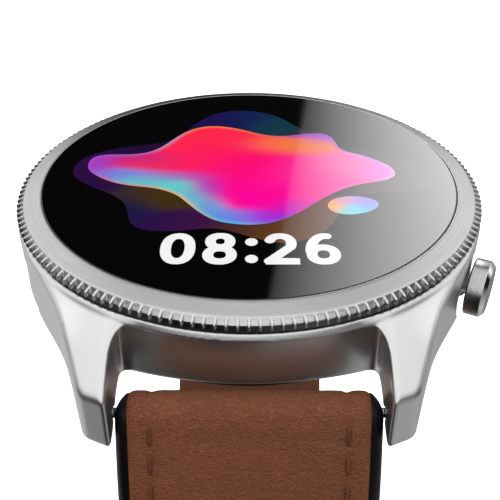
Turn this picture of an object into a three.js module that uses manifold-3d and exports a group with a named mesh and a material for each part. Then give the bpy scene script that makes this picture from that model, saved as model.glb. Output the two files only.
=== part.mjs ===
// Round smartwatch with a coin-edge bezel, a push crown and a two-piece leather strap.
// Units: millimetres, +Z up through the display, +Y towards 12 o'clock, +X towards 3 o'clock.
// Origin: centre of the flat back sensor window, the face that rests on the wrist.
import * as THREE from 'three';
import * as BufferGeometryUtils from 'three/addons/utils/BufferGeometryUtils.js';
import Module from 'manifold-3d';

const wasm = await Module();
wasm.setup();

// ---------------------------------------------------------------- driving dimensions
const GLASS_TOP_Z = 11.4;        // top of the cover glass
const GLASS_R = 20.55;
const BEZEL_R = 23.0;            // across the coin edge
const BEZEL_IN_R = 20.85;
const BEZEL_VALLEY_R = 22.45;
const KNURL_COUNT = 160;
const COLLAR_R = 22.8;
const COLLAR_Z0 = 9.75;
const CASE_R = 23.0;
const CASE_Z0 = 2.4;             // bottom plane of the case middle
const CASE_LIP_Z = 9.5;          // top of the case lip, under the bezel
const LIP_UNDER_Z = 9.0;         // underside of the lip between the lugs
const RECESS_R = 21.0;           // end wall between the lugs
const CAVITY_R = 19.5;
const BACK_OPEN_R = 15.6;
const LUG_X = 11.2;              // half of the lug gap
const LUG_Y = 26.0;              // lug tips
const BAR_Y = 23.5;              // spring bar axis
const BAR_Z = 1.8;
const BAR_R = 0.8;
const BAR_HOLE_R = 0.95;
const STRAP_END_R = 1.8;
const STRAP_HALF_W = 10.7;
const STRAP_TIP_HALF_W = 9.9;
const LEATHER_HALF_W = 9.65;
const LEATHER_T = 0.45;
const LAYER_GAP = 0.1;
const CROWN_ANGLE = -26.2;       // degrees from 3 o'clock towards 6 o'clock
const CROWN_Z = 5.2;
const CROWN_R = 2.8;
const CROWN_R0 = 23.3;           // back of the crown cap, measured from the watch axis
const CROWN_R1 = 25.15;          // crown end face
const PUSH_TRAVEL = 0.6;
const BACK_SCREW_R = 18.3;
const SEG = 36;
const CASE_SEG = 48;

// ---------------------------------------------------------------- helpers
function toManifold(geo) {
  let g = geo.index ? geo.toNonIndexed() : geo.clone();
  g.deleteAttribute('normal');
  g.deleteAttribute('uv');
  g = BufferGeometryUtils.mergeVertices(g, 1e-4);
  const p = g.attributes.position.array;
  const src = g.index.array;
  const idx = [];
  for (let i = 0; i < src.length; i += 3) {
    if (src[i] !== src[i + 1] && src[i + 1] !== src[i + 2] && src[i] !== src[i + 2]) idx.push(src[i], src[i + 1], src[i + 2]);
  }
  let v = 0;
  for (let i = 0; i < idx.length; i += 3) {
    const a = idx[i] * 3, b = idx[i + 1] * 3, c = idx[i + 2] * 3;
    v += p[a] * (p[b + 1] * p[c + 2] - p[b + 2] * p[c + 1]) - p[a + 1] * (p[b] * p[c + 2] - p[b + 2] * p[c]) + p[a + 2] * (p[b] * p[c + 1] - p[b + 1] * p[c]);
  }
  if (v < 0) for (let i = 0; i < idx.length; i += 3) { const t = idx[i]; idx[i] = idx[i + 1]; idx[i + 1] = t; }
  return new wasm.Manifold(new wasm.Mesh({ numProp: 3, vertProperties: new Float32Array(p), triVerts: new Uint32Array(idx) }));
}

function toGeometry(man) {
  const m = man.getMesh();
  const g = new THREE.BufferGeometry();
  g.setAttribute('position', new THREE.BufferAttribute(new Float32Array(m.vertProperties), 3));
  g.setIndex(new THREE.BufferAttribute(new Uint32Array(m.triVerts), 1));
  return g;
}

// solid of revolution about Z from a closed profile of [r, z]
function lathe(profile, seg = SEG) {
  const pts = profile.map(([r, z]) => new THREE.Vector2(r, z));
  const onAxis = profile[0][0] === 0 && profile[profile.length - 1][0] === 0;
  if (!onAxis) pts.push(pts[0].clone());
  const g = new THREE.LatheGeometry(pts, seg);
  g.rotateX(Math.PI / 2);
  return toManifold(g);
}
function ring(r0, r1, z0, z1, seg = SEG) { return lathe([[r0, z0], [r1, z0], [r1, z1], [r0, z1]], seg); }
function disc(r, z0, z1, seg = SEG) { return lathe([[0, z0], [r, z0], [r, z1], [0, z1]], seg); }
function box(x0, x1, y0, y1, z0, z1) {
  const g = new THREE.BoxGeometry(x1 - x0, y1 - y0, z1 - z0);
  g.translate((x0 + x1) / 2, (y0 + y1) / 2, (z0 + z1) / 2);
  return toManifold(g);
}
function shapeOf(pts) {
  const s = new THREE.Shape();
  s.moveTo(pts[0][0], pts[0][1]);
  for (let i = 1; i < pts.length; i++) s.lineTo(pts[i][0], pts[i][1]);
  s.closePath();
  return s;
}
function extrudeZ(pts, z0, z1, bevel = 0) {
  const g = new THREE.ExtrudeGeometry(shapeOf(pts), bevel
    ? { depth: z1 - z0 - 2 * bevel, bevelEnabled: true, bevelThickness: bevel, bevelSize: bevel, bevelOffset: -bevel, bevelSegments: 1, steps: 1 }
    : { depth: z1 - z0, bevelEnabled: false, steps: 1 });
  g.translate(0, 0, z0 + (bevel ? bevel : 0));
  return g;
}
// profile in (y, z), extruded along X
function extrudeX(pts, x0, x1, bevel = 0) {
  const g = extrudeZ(pts, x0, x1, bevel);            // local x=y, y=z, z=x
  const m = new THREE.Matrix4().makeBasis(new THREE.Vector3(0, 1, 0), new THREE.Vector3(0, 0, 1), new THREE.Vector3(1, 0, 0));
  g.applyMatrix4(m);
  return g;
}
// profile in (x, z), extruded along Y
function extrudeY(pts, y0, y1) {
  const g = extrudeZ(pts, -y1, -y0);                 // local x=x, y=z, z=-y
  const m = new THREE.Matrix4().makeBasis(new THREE.Vector3(1, 0, 0), new THREE.Vector3(0, 0, 1), new THREE.Vector3(0, -1, 0));
  g.applyMatrix4(m);
  return g;
}
function cylX(r, x0, x1, y, z, seg = 16) {
  const g = new THREE.CylinderGeometry(r, r, x1 - x0, seg);
  g.rotateZ(Math.PI / 2);
  g.translate((x0 + x1) / 2, y, z);
  return toManifold(g);
}
// move a solid built about Z so that its axis is the crown axis (local z = distance from the watch axis)
const CA = THREE.MathUtils.degToRad(CROWN_ANGLE);
const crownDir = new THREE.Vector3(Math.cos(CA), Math.sin(CA), 0);
const crownTan = new THREE.Vector3(-Math.sin(CA), Math.cos(CA), 0);
function onCrown(man) {
  const m = new THREE.Matrix4().makeBasis(crownTan, new THREE.Vector3(0, 0, 1), crownDir);
  m.setPosition(0, 0, CROWN_Z);
  const g = toGeometry(man);
  g.applyMatrix4(m);
  return toManifold(g);
}
function crownBox(t0, t1, r0, r1, z0, z1) { return onCrown(box(t0, t1, z0 - CROWN_Z, z1 - CROWN_Z, r0, r1)); }
const rot = (pts, a) => pts.map(([x, y]) => [x * Math.cos(a) - y * Math.sin(a), x * Math.sin(a) + y * Math.cos(a)]);
const flipY = (pts) => pts.map(([x, y]) => [x, -y]).reverse();
const flipX = (pts) => pts.map(([x, y]) => [-x, y]).reverse();
function roundRect(w, h, r, n = 4) {
  const out = [];
  const c = [[w / 2 - r, h / 2 - r, 0], [-w / 2 + r, h / 2 - r, 1], [-w / 2 + r, -h / 2 + r, 2], [w / 2 - r, -h / 2 + r, 3]];
  for (const [cx, cy, q] of c) for (let i = 0; i <= n; i++) {
    const a = (q + i / n) * Math.PI / 2;
    out.push([cx + r * Math.cos(a), cy + r * Math.sin(a)]);
  }
  return out;
}
const at = (pts, x, y) => pts.map(([a, b]) => [a + x, b + y]);

const watch = new THREE.Group();
function add(name, man, color, roughness, metalness) {
  const mesh = new THREE.Mesh(toGeometry(man), new THREE.MeshStandardMaterial({ color, roughness, metalness }));
  mesh.name = name;
  watch.add(mesh);
  return mesh;
}

const STEEL = 0xb9b9ba, DARK = 0x111113, BROWN = 0x7a4526, GREEN = 0x1d4a32;

// ---------------------------------------------------------------- case middle with four lugs
function lugProfile(sign) {
  const p = [[-14.0, 2.4], [-20.6, 2.55], [-22.3, 2.1], [-23.6, 1.2], [-24.8, 0.6], [-25.6, 0.55], [-26.0, 0.9],
    [-25.95, 1.7], [-25.45, 2.9], [-24.5, 4.1], [-23.4, 5.25], [-22.2, 6.3], [-21.0, 7.2], [-19.9, 7.95], [-18.9, 8.6], [-17.9, 9.1], [-16.8, 9.35], [-14.0, 9.35]];
  return sign < 0 ? p : p.map(([y, z]) => [-y, z]).reverse();
}
function lugPlan(sx, sy) {
  let p = [[LUG_X, -14], [18.15, -14], [17.35, -15.1], [16.75, -16.3], [16.2, -17.7], [15.6, -19.3], [15.0, -20.8], [14.4, -22.5], [13.9, -24.2], [13.35, -25.6], [12.9, -LUG_Y], [LUG_X, -LUG_Y]];
  if (sx < 0) p = flipX(p);
  if (sy > 0) p = flipY(p);
  return p;
}
let caseMiddle = lathe([[BACK_OPEN_R, CASE_Z0], [21.9, CASE_Z0], [22.6, 2.75], [22.9, 3.5], [CASE_R, 5.0], [CASE_R, 8.7], [22.9, 9.0], [22.9, 9.35], [22.75, CASE_LIP_Z],
  [21.45, CASE_LIP_Z], [21.45, 10.4], [20.7, 10.4], [20.7, 9.7], [CAVITY_R, 9.7], [CAVITY_R, 3.6], [BACK_OPEN_R, 3.6]], CASE_SEG);
for (const sy of [-1, 1]) for (const sx of [-1, 1]) {
  const side = toManifold(extrudeX(lugProfile(sy), sx < 0 ? -19 : 11, sx < 0 ? -11 : 19));
  const plan = toManifold(extrudeZ(lugPlan(sx, sy), 0, 12));
  caseMiddle = caseMiddle.add(side.intersect(plan));
}
caseMiddle = caseMiddle.subtract(disc(CAVITY_R, 3.6, 9.9, CASE_SEG)).subtract(disc(BACK_OPEN_R, 0, 4, CASE_SEG)).subtract(disc(20.7, 9.7, 12, CASE_SEG));
for (const sy of [-1, 1]) {
  // recess between the lugs, with rounded upper corners
  const prof = [[-LUG_X, 1.0], [LUG_X, 1.0], [LUG_X, 7.4], [LUG_X - 0.25, 8.2], [LUG_X - 0.8, 8.75], [LUG_X - 1.6, LIP_UNDER_Z], [-LUG_X + 1.6, LIP_UNDER_Z], [-LUG_X + 0.8, 8.75], [-LUG_X + 0.25, 8.2], [-LUG_X, 7.4]];
  const tool = toManifold(sy < 0 ? extrudeY(prof, -30, -12) : extrudeY(prof, 12, 30)).subtract(disc(RECESS_R, 0, 12, CASE_SEG));
  caseMiddle = caseMiddle.subtract(tool);
  // square relief where the end wall meets each lug, so a flat strap end or plate lies flush on the lug face
  for (const sx of [-1, 1]) {
    const g = new THREE.BoxGeometry(1.0, 3.0, 6.4);
    g.translate(sx * (LUG_X - 0.5), sy * 18.7, 4.2);
    caseMiddle = caseMiddle.subtract(toManifold(g));
    // shallow step round the spring bar hole, which keeps the strap end's rub off the upper lug face
    const f = new THREE.BoxGeometry(0.16, 6.4, 4.3);
    f.translate(sx * (LUG_X - 0.02), sy * 23.8, 1.15);
    caseMiddle = caseMiddle.subtract(toManifold(f));
  }
  for (const sx of [-1, 1]) caseMiddle = caseMiddle.subtract(cylX(0.6, sx > 0 ? 10 : -12.6, sx > 0 ? 12.6 : -10, sy * BAR_Y, BAR_Z, 12));
}
caseMiddle = caseMiddle.subtract(onCrown(disc(3.0, 21.9, 30, 28)));       // crown pocket
caseMiddle = caseMiddle.subtract(onCrown(disc(1.5, 18, 24, 16)));         // crown tube bore
for (let i = 0; i < 4; i++) {
  const a = (45 + 90 * i) * Math.PI / 180;
  const hole = disc(0.85, 1, 5, 12).translate([BACK_SCREW_R * Math.cos(a), BACK_SCREW_R * Math.sin(a), 0]);
  caseMiddle = caseMiddle.subtract(hole);
}
caseMiddle = caseMiddle.subtract(ring(16.0, 17.0, 1.5, 3.05, CASE_SEG));            // gasket groove
caseMiddle = caseMiddle.subtract(toManifold(extrudeY(at(roundRect(6, 1.0, 0.45, 3), 0, 6.2), 18, 24)));   // sound slot at 12 o'clock
caseMiddle = caseMiddle.subtract((() => { const g = new THREE.CylinderGeometry(0.4, 0.4, 6, 12); g.rotateZ(Math.PI / 2); g.translate(-21.5, 0, 6.4); g.rotateZ(-35 * Math.PI / 180); return toManifold(g); })()); // microphone port
add('case_middle', caseMiddle, STEEL, 0.42, 0.9);

// ---------------------------------------------------------------- rotating coin-edge bezel and its click ring
{
  const base = lathe([[BEZEL_IN_R, 10.7], [21.6, 10.7], [22.05, 10.5], [22.3, 10.3], [22.3, COLLAR_Z0], [COLLAR_R, COLLAR_Z0], [COLLAR_R, 10.2], [BEZEL_VALLEY_R - 0.08, 10.22], [BEZEL_VALLEY_R - 0.08, 10.85],
    [22.25, 11.0], [21.0, 11.36], [BEZEL_IN_R, 11.3]], 64);
  const outline = [];
  const pitch = 2 * Math.PI / KNURL_COUNT;
  for (let i = 0; i < KNURL_COUNT; i++) {
    const a = -Math.PI / 2 + i * pitch;
    for (const [f, r] of [[-0.5, BEZEL_VALLEY_R], [0, BEZEL_R]]) outline.push([r * Math.cos(a + f * pitch), r * Math.sin(a + f * pitch)]);
  }
  const shape = shapeOf(outline);
  const hole = new THREE.Path();
  for (let i = 0; i < 64; i++) { const a = -(i + 0.5) * 2 * Math.PI / 64; const x = 22.33 * Math.cos(a), y = 22.33 * Math.sin(a); if (i === 0) hole.moveTo(x, y); else hole.lineTo(x, y); }
  hole.closePath();
  shape.holes.push(hole);
  const g = new THREE.ExtrudeGeometry(shape, { depth: 0.62, bevelEnabled: false, steps: 1 });
  g.translate(0, 0, 10.14);
  const teeth = toManifold(g);
  add('rotating_bezel', base.add(teeth), 0xc2c2c4, 0.3, 0.95);
}
add('bezel_click_ring', ring(21.65, 22.15, 9.65, 9.95), STEEL, 0.3, 1.0);

// ---------------------------------------------------------------- display stack
add('cover_glass', lathe([[0, 10.2], [20.45, 10.2], [GLASS_R, 10.3], [GLASS_R, 11.22], [20.38, GLASS_TOP_Z], [0, GLASS_TOP_Z]], 48), 0x050506, 0.05, 0.0);
add('glass_seal', ring(19.7, 20.4, 9.8, 10.05), DARK, 0.8, 0.0);
add('display_panel', disc(18.4, 9.3, 10.05), 0x08080c, 0.2, 0.0);
add('display_frame', ring(18.6, 19.3, 9.15, 10.05), 0x1b1b1d, 0.6, 0.2);
add('display_flex', toManifold(extrudeX([[-17.4, 7.6], [-17.1, 7.6], [-17.1, 8.75], [-12.6, 8.75], [-12.6, 9.0], [-17.4, 9.0]], -3, 3)), 0xb5752a, 0.5, 0.1);

// ---------------------------------------------------------------- electronics
const crownClear = crownBox(-3.6, 3.6, 12.4, 20.5, 3.0, 8.0);
{
  let f = lathe([[0, 6.1], [18.3, 6.1], [18.3, 3.9], [19.2, 3.9], [19.2, 9.0], [18.5, 9.0], [18.5, 6.6], [0, 6.6]]);
  f = f.subtract(crownClear).subtract(box(-3.6, 3.6, -19.0, -16.6, 6.0, 6.7)).subtract(box(-4, 4, 18.0, 20, 5.4, 7.0));
  add('inner_frame', f, 0x26262a, 0.7, 0.0);
}
{
  let b = disc(18.2, 6.8, 7.4);
  b = b.subtract(crownClear);
  add('main_board', b, GREEN, 0.55, 0.1);
}
add('processor_shield', toManifold(extrudeZ(at(roundRect(12, 10, 0.8), -4, 3), 7.55, 8.5)), STEEL, 0.35, 1.0);
add('radio_shield', toManifold(extrudeZ(at(roundRect(8, 7, 0.6), 8, 8), 7.55, 8.4)), STEEL, 0.35, 1.0);
add('memory_chip', box(-10, -4, -10, -5, 7.55, 8.3), DARK, 0.4, 0.0);
add('motion_sensor', box(1, 4, -8, -5, 7.55, 8.35), DARK, 0.4, 0.0);
add('microphone', (() => { const g = new THREE.BoxGeometry(3.2, 2.4, 1.1); g.translate(-15.4, 0, 8.1); g.rotateZ(-35 * Math.PI / 180); return toManifold(g); })(), STEEL, 0.35, 1.0);
add('speaker', toManifold(extrudeZ(at(roundRect(10, 4.4, 1.2), 0, 14.6), 3.9, 5.9)), 0x2a2a2c, 0.5, 0.3);
add('haptic_motor', toManifold(extrudeZ(at(roundRect(4, 11, 1.0), -14.2, 0), 3.9, 5.9)), STEEL, 0.35, 0.9);
add('battery', toManifold(extrudeZ(roundRect(20, 20, 2.0), 2.6, 5.8)), 0x3b3f46, 0.5, 0.2);
add('sensor_board', disc(8.7, 1.55, 2.15, 48), GREEN, 0.55, 0.1);
add('sensor_led_green', box(-3.4, -1.4, -1, 1, 0.75, 1.4), 0xd8e8c8, 0.3, 0.0);
add('sensor_led_infrared', box(1.4, 3.4, -1, 1, 0.75, 1.4), 0x40202a, 0.3, 0.0);
add('sensor_photodiode', box(-1.1, 1.1, 2.6, 4.8, 0.75, 1.4), 0x15151a, 0.3, 0.0);

// ---------------------------------------------------------------- back cover, sensor window, seal, screws, charging pins
{
  let c = lathe([[11.3, 1.0], [17.6, 1.0], [20.2, 1.65], [20.2, 2.1], [12.4, 2.1], [12.4, 1.5], [11.3, 1.5]]);
  for (let i = 0; i < 4; i++) {
    const a = (45 + 90 * i) * Math.PI / 180, x = BACK_SCREW_R * Math.cos(a), y = BACK_SCREW_R * Math.sin(a);
    c = c.subtract(disc(0.85, 0, 3, 12).translate([x, y, 0])).subtract(disc(1.3, 0, 1.65, 12).translate([x, y, 0]));
    const screw = lathe([[0, 1.15], [0.35, 1.15], [0.35, 1.0], [1.05, 1.0], [1.05, 1.5], [0.6, 1.5], [0.6, 3.4], [0, 3.4]], 12).translate([x, y, 0.05]);
    add('back_screw_' + (i + 1), screw, STEEL, 0.35, 1.0);
  }
  for (const s of [-1, 1]) {
    c = c.subtract(disc(1.25, 0, 3, 12).translate([s * 2.0, -14.4, 0]));
    add(s < 0 ? 'charging_pin_1' : 'charging_pin_2', lathe([[0, 0.95], [1.0, 0.95], [1.0, 1.9], [0.45, 1.9], [0.45, 2.5], [0, 2.5]], 12).translate([s * 2.0, -14.4, 0]), 0xd2b46a, 0.3, 1.0);
  }
  add('back_cover', c, 0x2a2a2c, 0.55, 0.1);
}
add('sensor_window', lathe([[0, 0], [8.4, 0], [10.2, 0.3], [11.0, 0.85], [11.0, 1.65], [12.1, 1.65], [12.1, 2.0], [9.0, 2.0], [9.0, 0.6], [0, 0.6]]), 0x0a0a0c, 0.08, 0.0);
add('back_gasket', ring(16.15, 16.85, 2.25, 2.85), DARK, 0.8, 0.0);

// ---------------------------------------------------------------- crown
add('crown_tube', onCrown(lathe([[0.85, 19.9], [1.35, 19.9], [1.35, 22.5], [0.85, 22.5], [0.85, 22.0], [1.15, 22.0], [1.15, 21.3], [0.85, 21.3]], 16)), STEEL, 0.3, 1.0);
add('crown_seal', onCrown(ring(0.8, 1.06, 21.4, 21.9, 16)), DARK, 0.8, 0.0);
add('crown_stem', onCrown(lathe([[0, 15.2], [0.7, 15.2], [0.7, 17.65], [0.5, 17.65], [0.5, 18.25], [0.7, 18.25], [0.7, 24.2], [0, 24.2]], 16)), STEEL, 0.3, 1.0);
add('crown_clip', onCrown(ring(0.62, 1.25, 17.8, 18.1, 16).subtract(box(-0.4, 0.4, 0, 2, 17, 19))), STEEL, 0.35, 1.0);
add('crown_encoder_wheel', onCrown(ring(0.8, 1.4, 16.4, 17.0, 16)), DARK, 0.5, 0.2);
add('crown_sensor', crownBox(1.8, 3.0, 16.1, 17.3, 4.4, 6.0), DARK, 0.4, 0.0);
add('crown_switch', crownBox(-1.8, 1.8, 12.9, 14.3, 4.1, 6.0), STEEL, 0.35, 0.9);
add('crown_cap', onCrown(lathe([[0.9, CROWN_R0], [CROWN_R - 0.15, CROWN_R0], [CROWN_R, CROWN_R0 + 0.15], [CROWN_R, 24.72], [CROWN_R - 0.4, CROWN_R1], [0, CROWN_R1], [0, 24.4], [0.9, 24.4]], 40)), STEEL, 0.3, 1.0);

// ---------------------------------------------------------------- strap
// centre line in the YZ plane: heading phi is measured from straight down, outward positive
function centreLine(side, phi0Deg, runs, step) {
  let y = BAR_Y, z = BAR_Z, ph = phi0Deg * Math.PI / 180, s = 0;
  const out = [{ y: side * y, z, ph, s }];
  for (const [len, k] of runs) {
    const n = Math.max(1, Math.round(len / step)), ds = len / n;
    for (let i = 0; i < n; i++) {
      const m = 40, d = ds / m;
      for (let j = 0; j < m; j++) { const pm = ph - k * d / 2; y += Math.sin(pm) * d; z -= Math.cos(pm) * d; ph -= k * d; }
      s += ds;
      out.push({ y: side * y, z, ph, s });
    }
  }
  return out;
}
const thick = (s) => (s < 8 ? 3.4 - 0.5 * (s / 8) : s < 26 ? 2.9 - 0.4 * ((s - 8) / 18) : 2.5);
// outward offset d from the centre line at sample c
const off = (side, c, d) => [c.y + side * Math.cos(c.ph) * d, c.z + Math.sin(c.ph) * d];
function endArc(side, c, r, a0, a1, n) {
  // arc about the bar axis; angle 0 = outward normal, 90 = back over the top, 180 = wrist side
  const out = [];
  for (let i = 0; i <= n; i++) {
    const a = (a0 + (a1 - a0) * i / n) * Math.PI / 180;
    const nx = side * Math.cos(c.ph), nz = Math.sin(c.ph);
    const tx = side * Math.sin(c.ph), tz = -Math.cos(c.ph);
    out.push([c.y + r * (Math.cos(a) * nx - Math.sin(a) * tx), c.z + r * (Math.cos(a) * nz - Math.sin(a) * tz)]);
  }
  return out;
}
function taper(geo, cl) {
  const p = geo.attributes.position;
  for (let i = 0; i < p.count; i++) {
    let best = 1e9, sb = 0;
    for (const c of cl) { const d = (p.getY(i) - c.y) ** 2 + (p.getZ(i) - c.z) ** 2; if (d < best) { best = d; sb = c.s; } }
    const L = cl[cl.length - 1].s;
    const k = 1 - (1 - STRAP_TIP_HALF_W / STRAP_HALF_W) * Math.min(1, Math.max(0, (sb - 12) / (L - 24)));
    p.setX(i, p.getX(i) * k);
  }
  return geo;
}
function strapHalf(side, cl, tipRound) {
  const L = cl.length - 1;
  const body = cl.filter((c) => c.s > 1.2);
  const outer = body.map((c) => off(side, c, thick(c.s) / 2));
  const inner = body.map((c) => off(side, c, -thick(c.s) / 2)).reverse();
  const prof = [...endArc(side, cl[0], STRAP_END_R, 180, 0, 10), ...outer, ...inner];
  const flip = (p) => p;
  const geo = taper(extrudeX(flip(prof), -STRAP_HALF_W, STRAP_HALF_W, 0.6), cl);
  let core = toManifold(geo);
  if (tipRound) {
    // rounded tail seen from outside: cut with a half-round plan along the tangent at the tip
    const e = cl[L];
    const T = new THREE.Vector3(0, side * Math.sin(e.ph), -Math.cos(e.ph));
    const N = new THREE.Vector3(0, side * Math.cos(e.ph), Math.sin(e.ph));
    const X = new THREE.Vector3().crossVectors(T, N);
    const pts = [[-13, 6], [-13, -16]];
    for (let i = 0; i <= 14; i++) { const a = Math.PI - i * Math.PI / 14; pts.push([STRAP_TIP_HALF_W * Math.cos(a), -9 + 9 * Math.sin(a)]); }
    pts.push([13, -16], [13, 6]);
    const g = extrudeZ(pts, -4.5, 4.5);
    g.applyMatrix4(new THREE.Matrix4().makeBasis(X, T, N).setPosition(0, e.y, e.z));
    core = core.subtract(toManifold(g));
  }
  return core;
}
function layer(side, cl, s0, s1, dOut, dIn, halfW, wrapArc) {
  const sel = cl.filter((c) => c.s >= s0 && c.s <= s1);
  const a = sel.map((c) => off(side, c, dOut(c.s)));
  const b = sel.map((c) => off(side, c, dIn(c.s))).reverse();
  let prof;
  if (wrapArc) prof = [...endArc(side, cl[0], wrapArc[0], wrapArc[2], 0, 8), ...a, ...b, ...endArc(side, cl[0], wrapArc[1], 0, wrapArc[2], 8)];
  else prof = [...a, ...b];
  return toManifold(taper(extrudeX(prof, -halfW, halfW), cl));
}
function barAndLever(side, name, phi) {
  const c = { y: side * BAR_Y, z: BAR_Z, ph: phi };
  const nIn = new THREE.Vector3(0, -side * Math.cos(phi), -Math.sin(phi));
  const post = (r, len, x) => { const g = new THREE.CylinderGeometry(r, r, len, 12); g.translate(0, len / 2, 0);
    const m = new THREE.Matrix4().makeRotationFromQuaternion(new THREE.Quaternion().setFromUnitVectors(new THREE.Vector3(0, 1, 0), nIn)); g.applyMatrix4(m); g.translate(x, c.y, c.z); return toManifold(g); };
  const slot = (x0, x1, hw, len) => { const g = new THREE.BoxGeometry(x1 - x0, len, 2 * hw); g.translate((x0 + x1) / 2, len / 2, 0);
    const m = new THREE.Matrix4().makeRotationFromQuaternion(new THREE.Quaternion().setFromUnitVectors(new THREE.Vector3(0, 1, 0), nIn)); g.applyMatrix4(m); g.translate(0, c.y, c.z); return toManifold(g); };
  let bar = cylX(BAR_R, -10.6, 10.6, c.y, c.z, 16).add(cylX(0.45, -12.2, -10.5, c.y, c.z, 12));
  bar = bar.subtract(cylX(0.58, 2.6, 11, c.y, c.z, 12)).subtract(slot(4.2, 6.7, 0.52, 3));
  add('spring_bar_' + name, bar, STEEL, 0.3, 1.0);
  const lever = cylX(0.43, 4.3, 12.2, c.y, c.z, 12).add(post(0.38, 2.5, 6.1));
  add('release_lever_' + name, lever, STEEL, 0.3, 1.0);
  return slot(3.9, 7.0, 0.62, 4);
}
const PHI0 = 27;
const NEAR_RUNS = [[8, 0.024], [45, 0.0085], [65, 0.0165]];
const KEEPER_ARC_R = 45.16;      // the buckle end of the strap follows this arc, and the free keeper slides along it
const FAR_RUNS = [[40, 1 / 30], [32, 1 / KEEPER_ARC_R]];
const near = centreLine(-1, PHI0, NEAR_RUNS, 4.0);
const far = centreLine(1, PHI0, FAR_RUNS, 4.2);
function buildStrap(side, name, cl, tip) {
  let core = strapHalf(side, cl, tip);
  const endS = cl[cl.length - 1].s - (tip ? 11 : 2.0);
  const t = thick;
  const leatherCut = layer(side, cl, 1.0, endS + 0.3, (s) => t(s) / 2 + 0.8, (s) => t(s) / 2 - LEATHER_T - LAYER_GAP, LEATHER_HALF_W + 0.12, [STRAP_END_R + 0.8, STRAP_END_R - LEATHER_T - LAYER_GAP, 170]);
  const liningCut = layer(side, cl, 5.0, endS + 0.3, (s) => -t(s) / 2 + LEATHER_T + LAYER_GAP, (s) => -t(s) / 2 - 0.8, LEATHER_HALF_W + 0.12, null);
  core = core.subtract(leatherCut).subtract(liningCut);
  const hole = cylX(BAR_HOLE_R, -12, 12, side * BAR_Y, BAR_Z, 16);
  const slot = barAndLever(side, name, PHI0 * Math.PI / 180);
  core = core.subtract(hole).subtract(slot);
  let leather = layer(side, cl, 1.0, endS, (s) => t(s) / 2, (s) => t(s) / 2 - LEATHER_T, LEATHER_HALF_W, [STRAP_END_R, STRAP_END_R - LEATHER_T, 168]);
  leather = leather.subtract(slot);
  let lining = layer(side, cl, 5.3, endS, (s) => -t(s) / 2 + LEATHER_T, (s) => -t(s) / 2, LEATHER_HALF_W, null);
  return { core, leather, lining };
}
{
  const s = buildStrap(-1, '6', near, true);
  // adjustment holes through all layers
  const L = near[near.length - 1].s;
  for (let i = 0; i < 7; i++) {
    const target = L - 24.3 - i * 6.5;
    let c = near[0];
    for (const q of near) if (Math.abs(q.s - target) < Math.abs(c.s - target)) c = q;
    // interpolate along the local tangent
    const d = target - c.s;
    const y = c.y - Math.sin(c.ph) * d, z = c.z - Math.cos(c.ph) * d;
    const N = new THREE.Vector3(0, -Math.cos(c.ph), Math.sin(c.ph));
    const g = new THREE.CylinderGeometry(1.0, 1.0, 8, 8);
    g.applyMatrix4(new THREE.Matrix4().makeRotationFromQuaternion(new THREE.Quaternion().setFromUnitVectors(new THREE.Vector3(0, 1, 0), N)));
    g.translate(0, y, z);
    const h = toManifold(g);
    s.core = s.core.subtract(h); s.leather = s.leather.subtract(h); s.lining = s.lining.subtract(h);
  }
  add('strap_6_core', s.core, 0x0d0d0e, 0.6, 0.0);
  add('strap_6_leather', s.leather, BROWN, 0.6, 0.0);
  add('strap_6_lining', s.lining, 0x8a5432, 0.7, 0.0);
}
{
  const s = buildStrap(1, '12', far, false);
  const e = far[far.length - 1];
  const T = new THREE.Vector3(0, Math.sin(e.ph), -Math.cos(e.ph));
  const N = new THREE.Vector3(0, Math.cos(e.ph), Math.sin(e.ph));
  const basis = new THREE.Matrix4().makeBasis(new THREE.Vector3(1, 0, 0), T, N).setPosition(0, e.y, e.z);
  const place = (man) => { const g = toGeometry(man); g.applyMatrix4(basis); return toManifold(g); };
  // local frame at the buckle end: x across, y along the strap past its end, z outward
  const loop = place(cylX(1.5, -8.6, 8.6, 0, 0, 20));
  s.core = s.core.add(loop.intersect(place(box(-8.6, 8.6, -3, 3, -3, 3))));
  const slotT = place(box(-1.7, 1.7, -5, 3, -3, 3));
  const bore = place(cylX(0.75, -12, 12, 0, 0, 16));
  s.core = s.core.subtract(slotT).subtract(bore).subtract(place(box(8.6, 12, -2.1, 3, -3, 3))).subtract(place(box(-12, -8.6, -2.1, 3, -3, 3)));
  s.leather = s.leather.subtract(place(box(-1.85, 1.85, -5.2, 3, -4, 4)));
  s.lining = s.lining.subtract(place(box(-1.85, 1.85, -5.2, 3, -4, 4)));
  add('strap_12_core', s.core, 0x0d0d0e, 0.6, 0.0);
  add('strap_12_leather', s.leather, BROWN, 0.6, 0.0);
  add('strap_12_lining', s.lining, 0x8a5432, 0.7, 0.0);
  add('buckle_bar', place(cylX(0.6, -11.6, 11.6, 0, 0, 16)), STEEL, 0.3, 1.0);
  // buckle frame: side ears on the bar, front bar beyond the strap end
  const outerP = [[-12.2, -1.4], [12.2, -1.4], [12.2, 7.2], [11.4, 8.6], [9.8, 9.4], [-9.8, 9.4], [-11.4, 8.6], [-12.2, 7.2]];
  let fr = toManifold(extrudeZ(outerP, -1.3, 1.3, 0.4)).subtract(box(-10.3, 10.3, -3, 6.6, -3, 3));
  fr = fr.subtract(cylX(0.72, -11.75, 11.75, 0, 0, 16));
  fr = fr.subtract(box(-1.4, 1.4, 6, 11, 0.55, 3));
  add('buckle_frame', place(fr), STEEL, 0.3, 1.0);
  let tg = cylX(1.35, -1.3, 1.3, 0, 0, 20).add(box(-1.0, 1.0, 0.5, 9.0, 0.75, 1.55)).subtract(cylX(0.72, -3, 3, 0, 0, 16));
  add('buckle_tongue', place(tg), STEEL, 0.3, 1.0);
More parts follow.
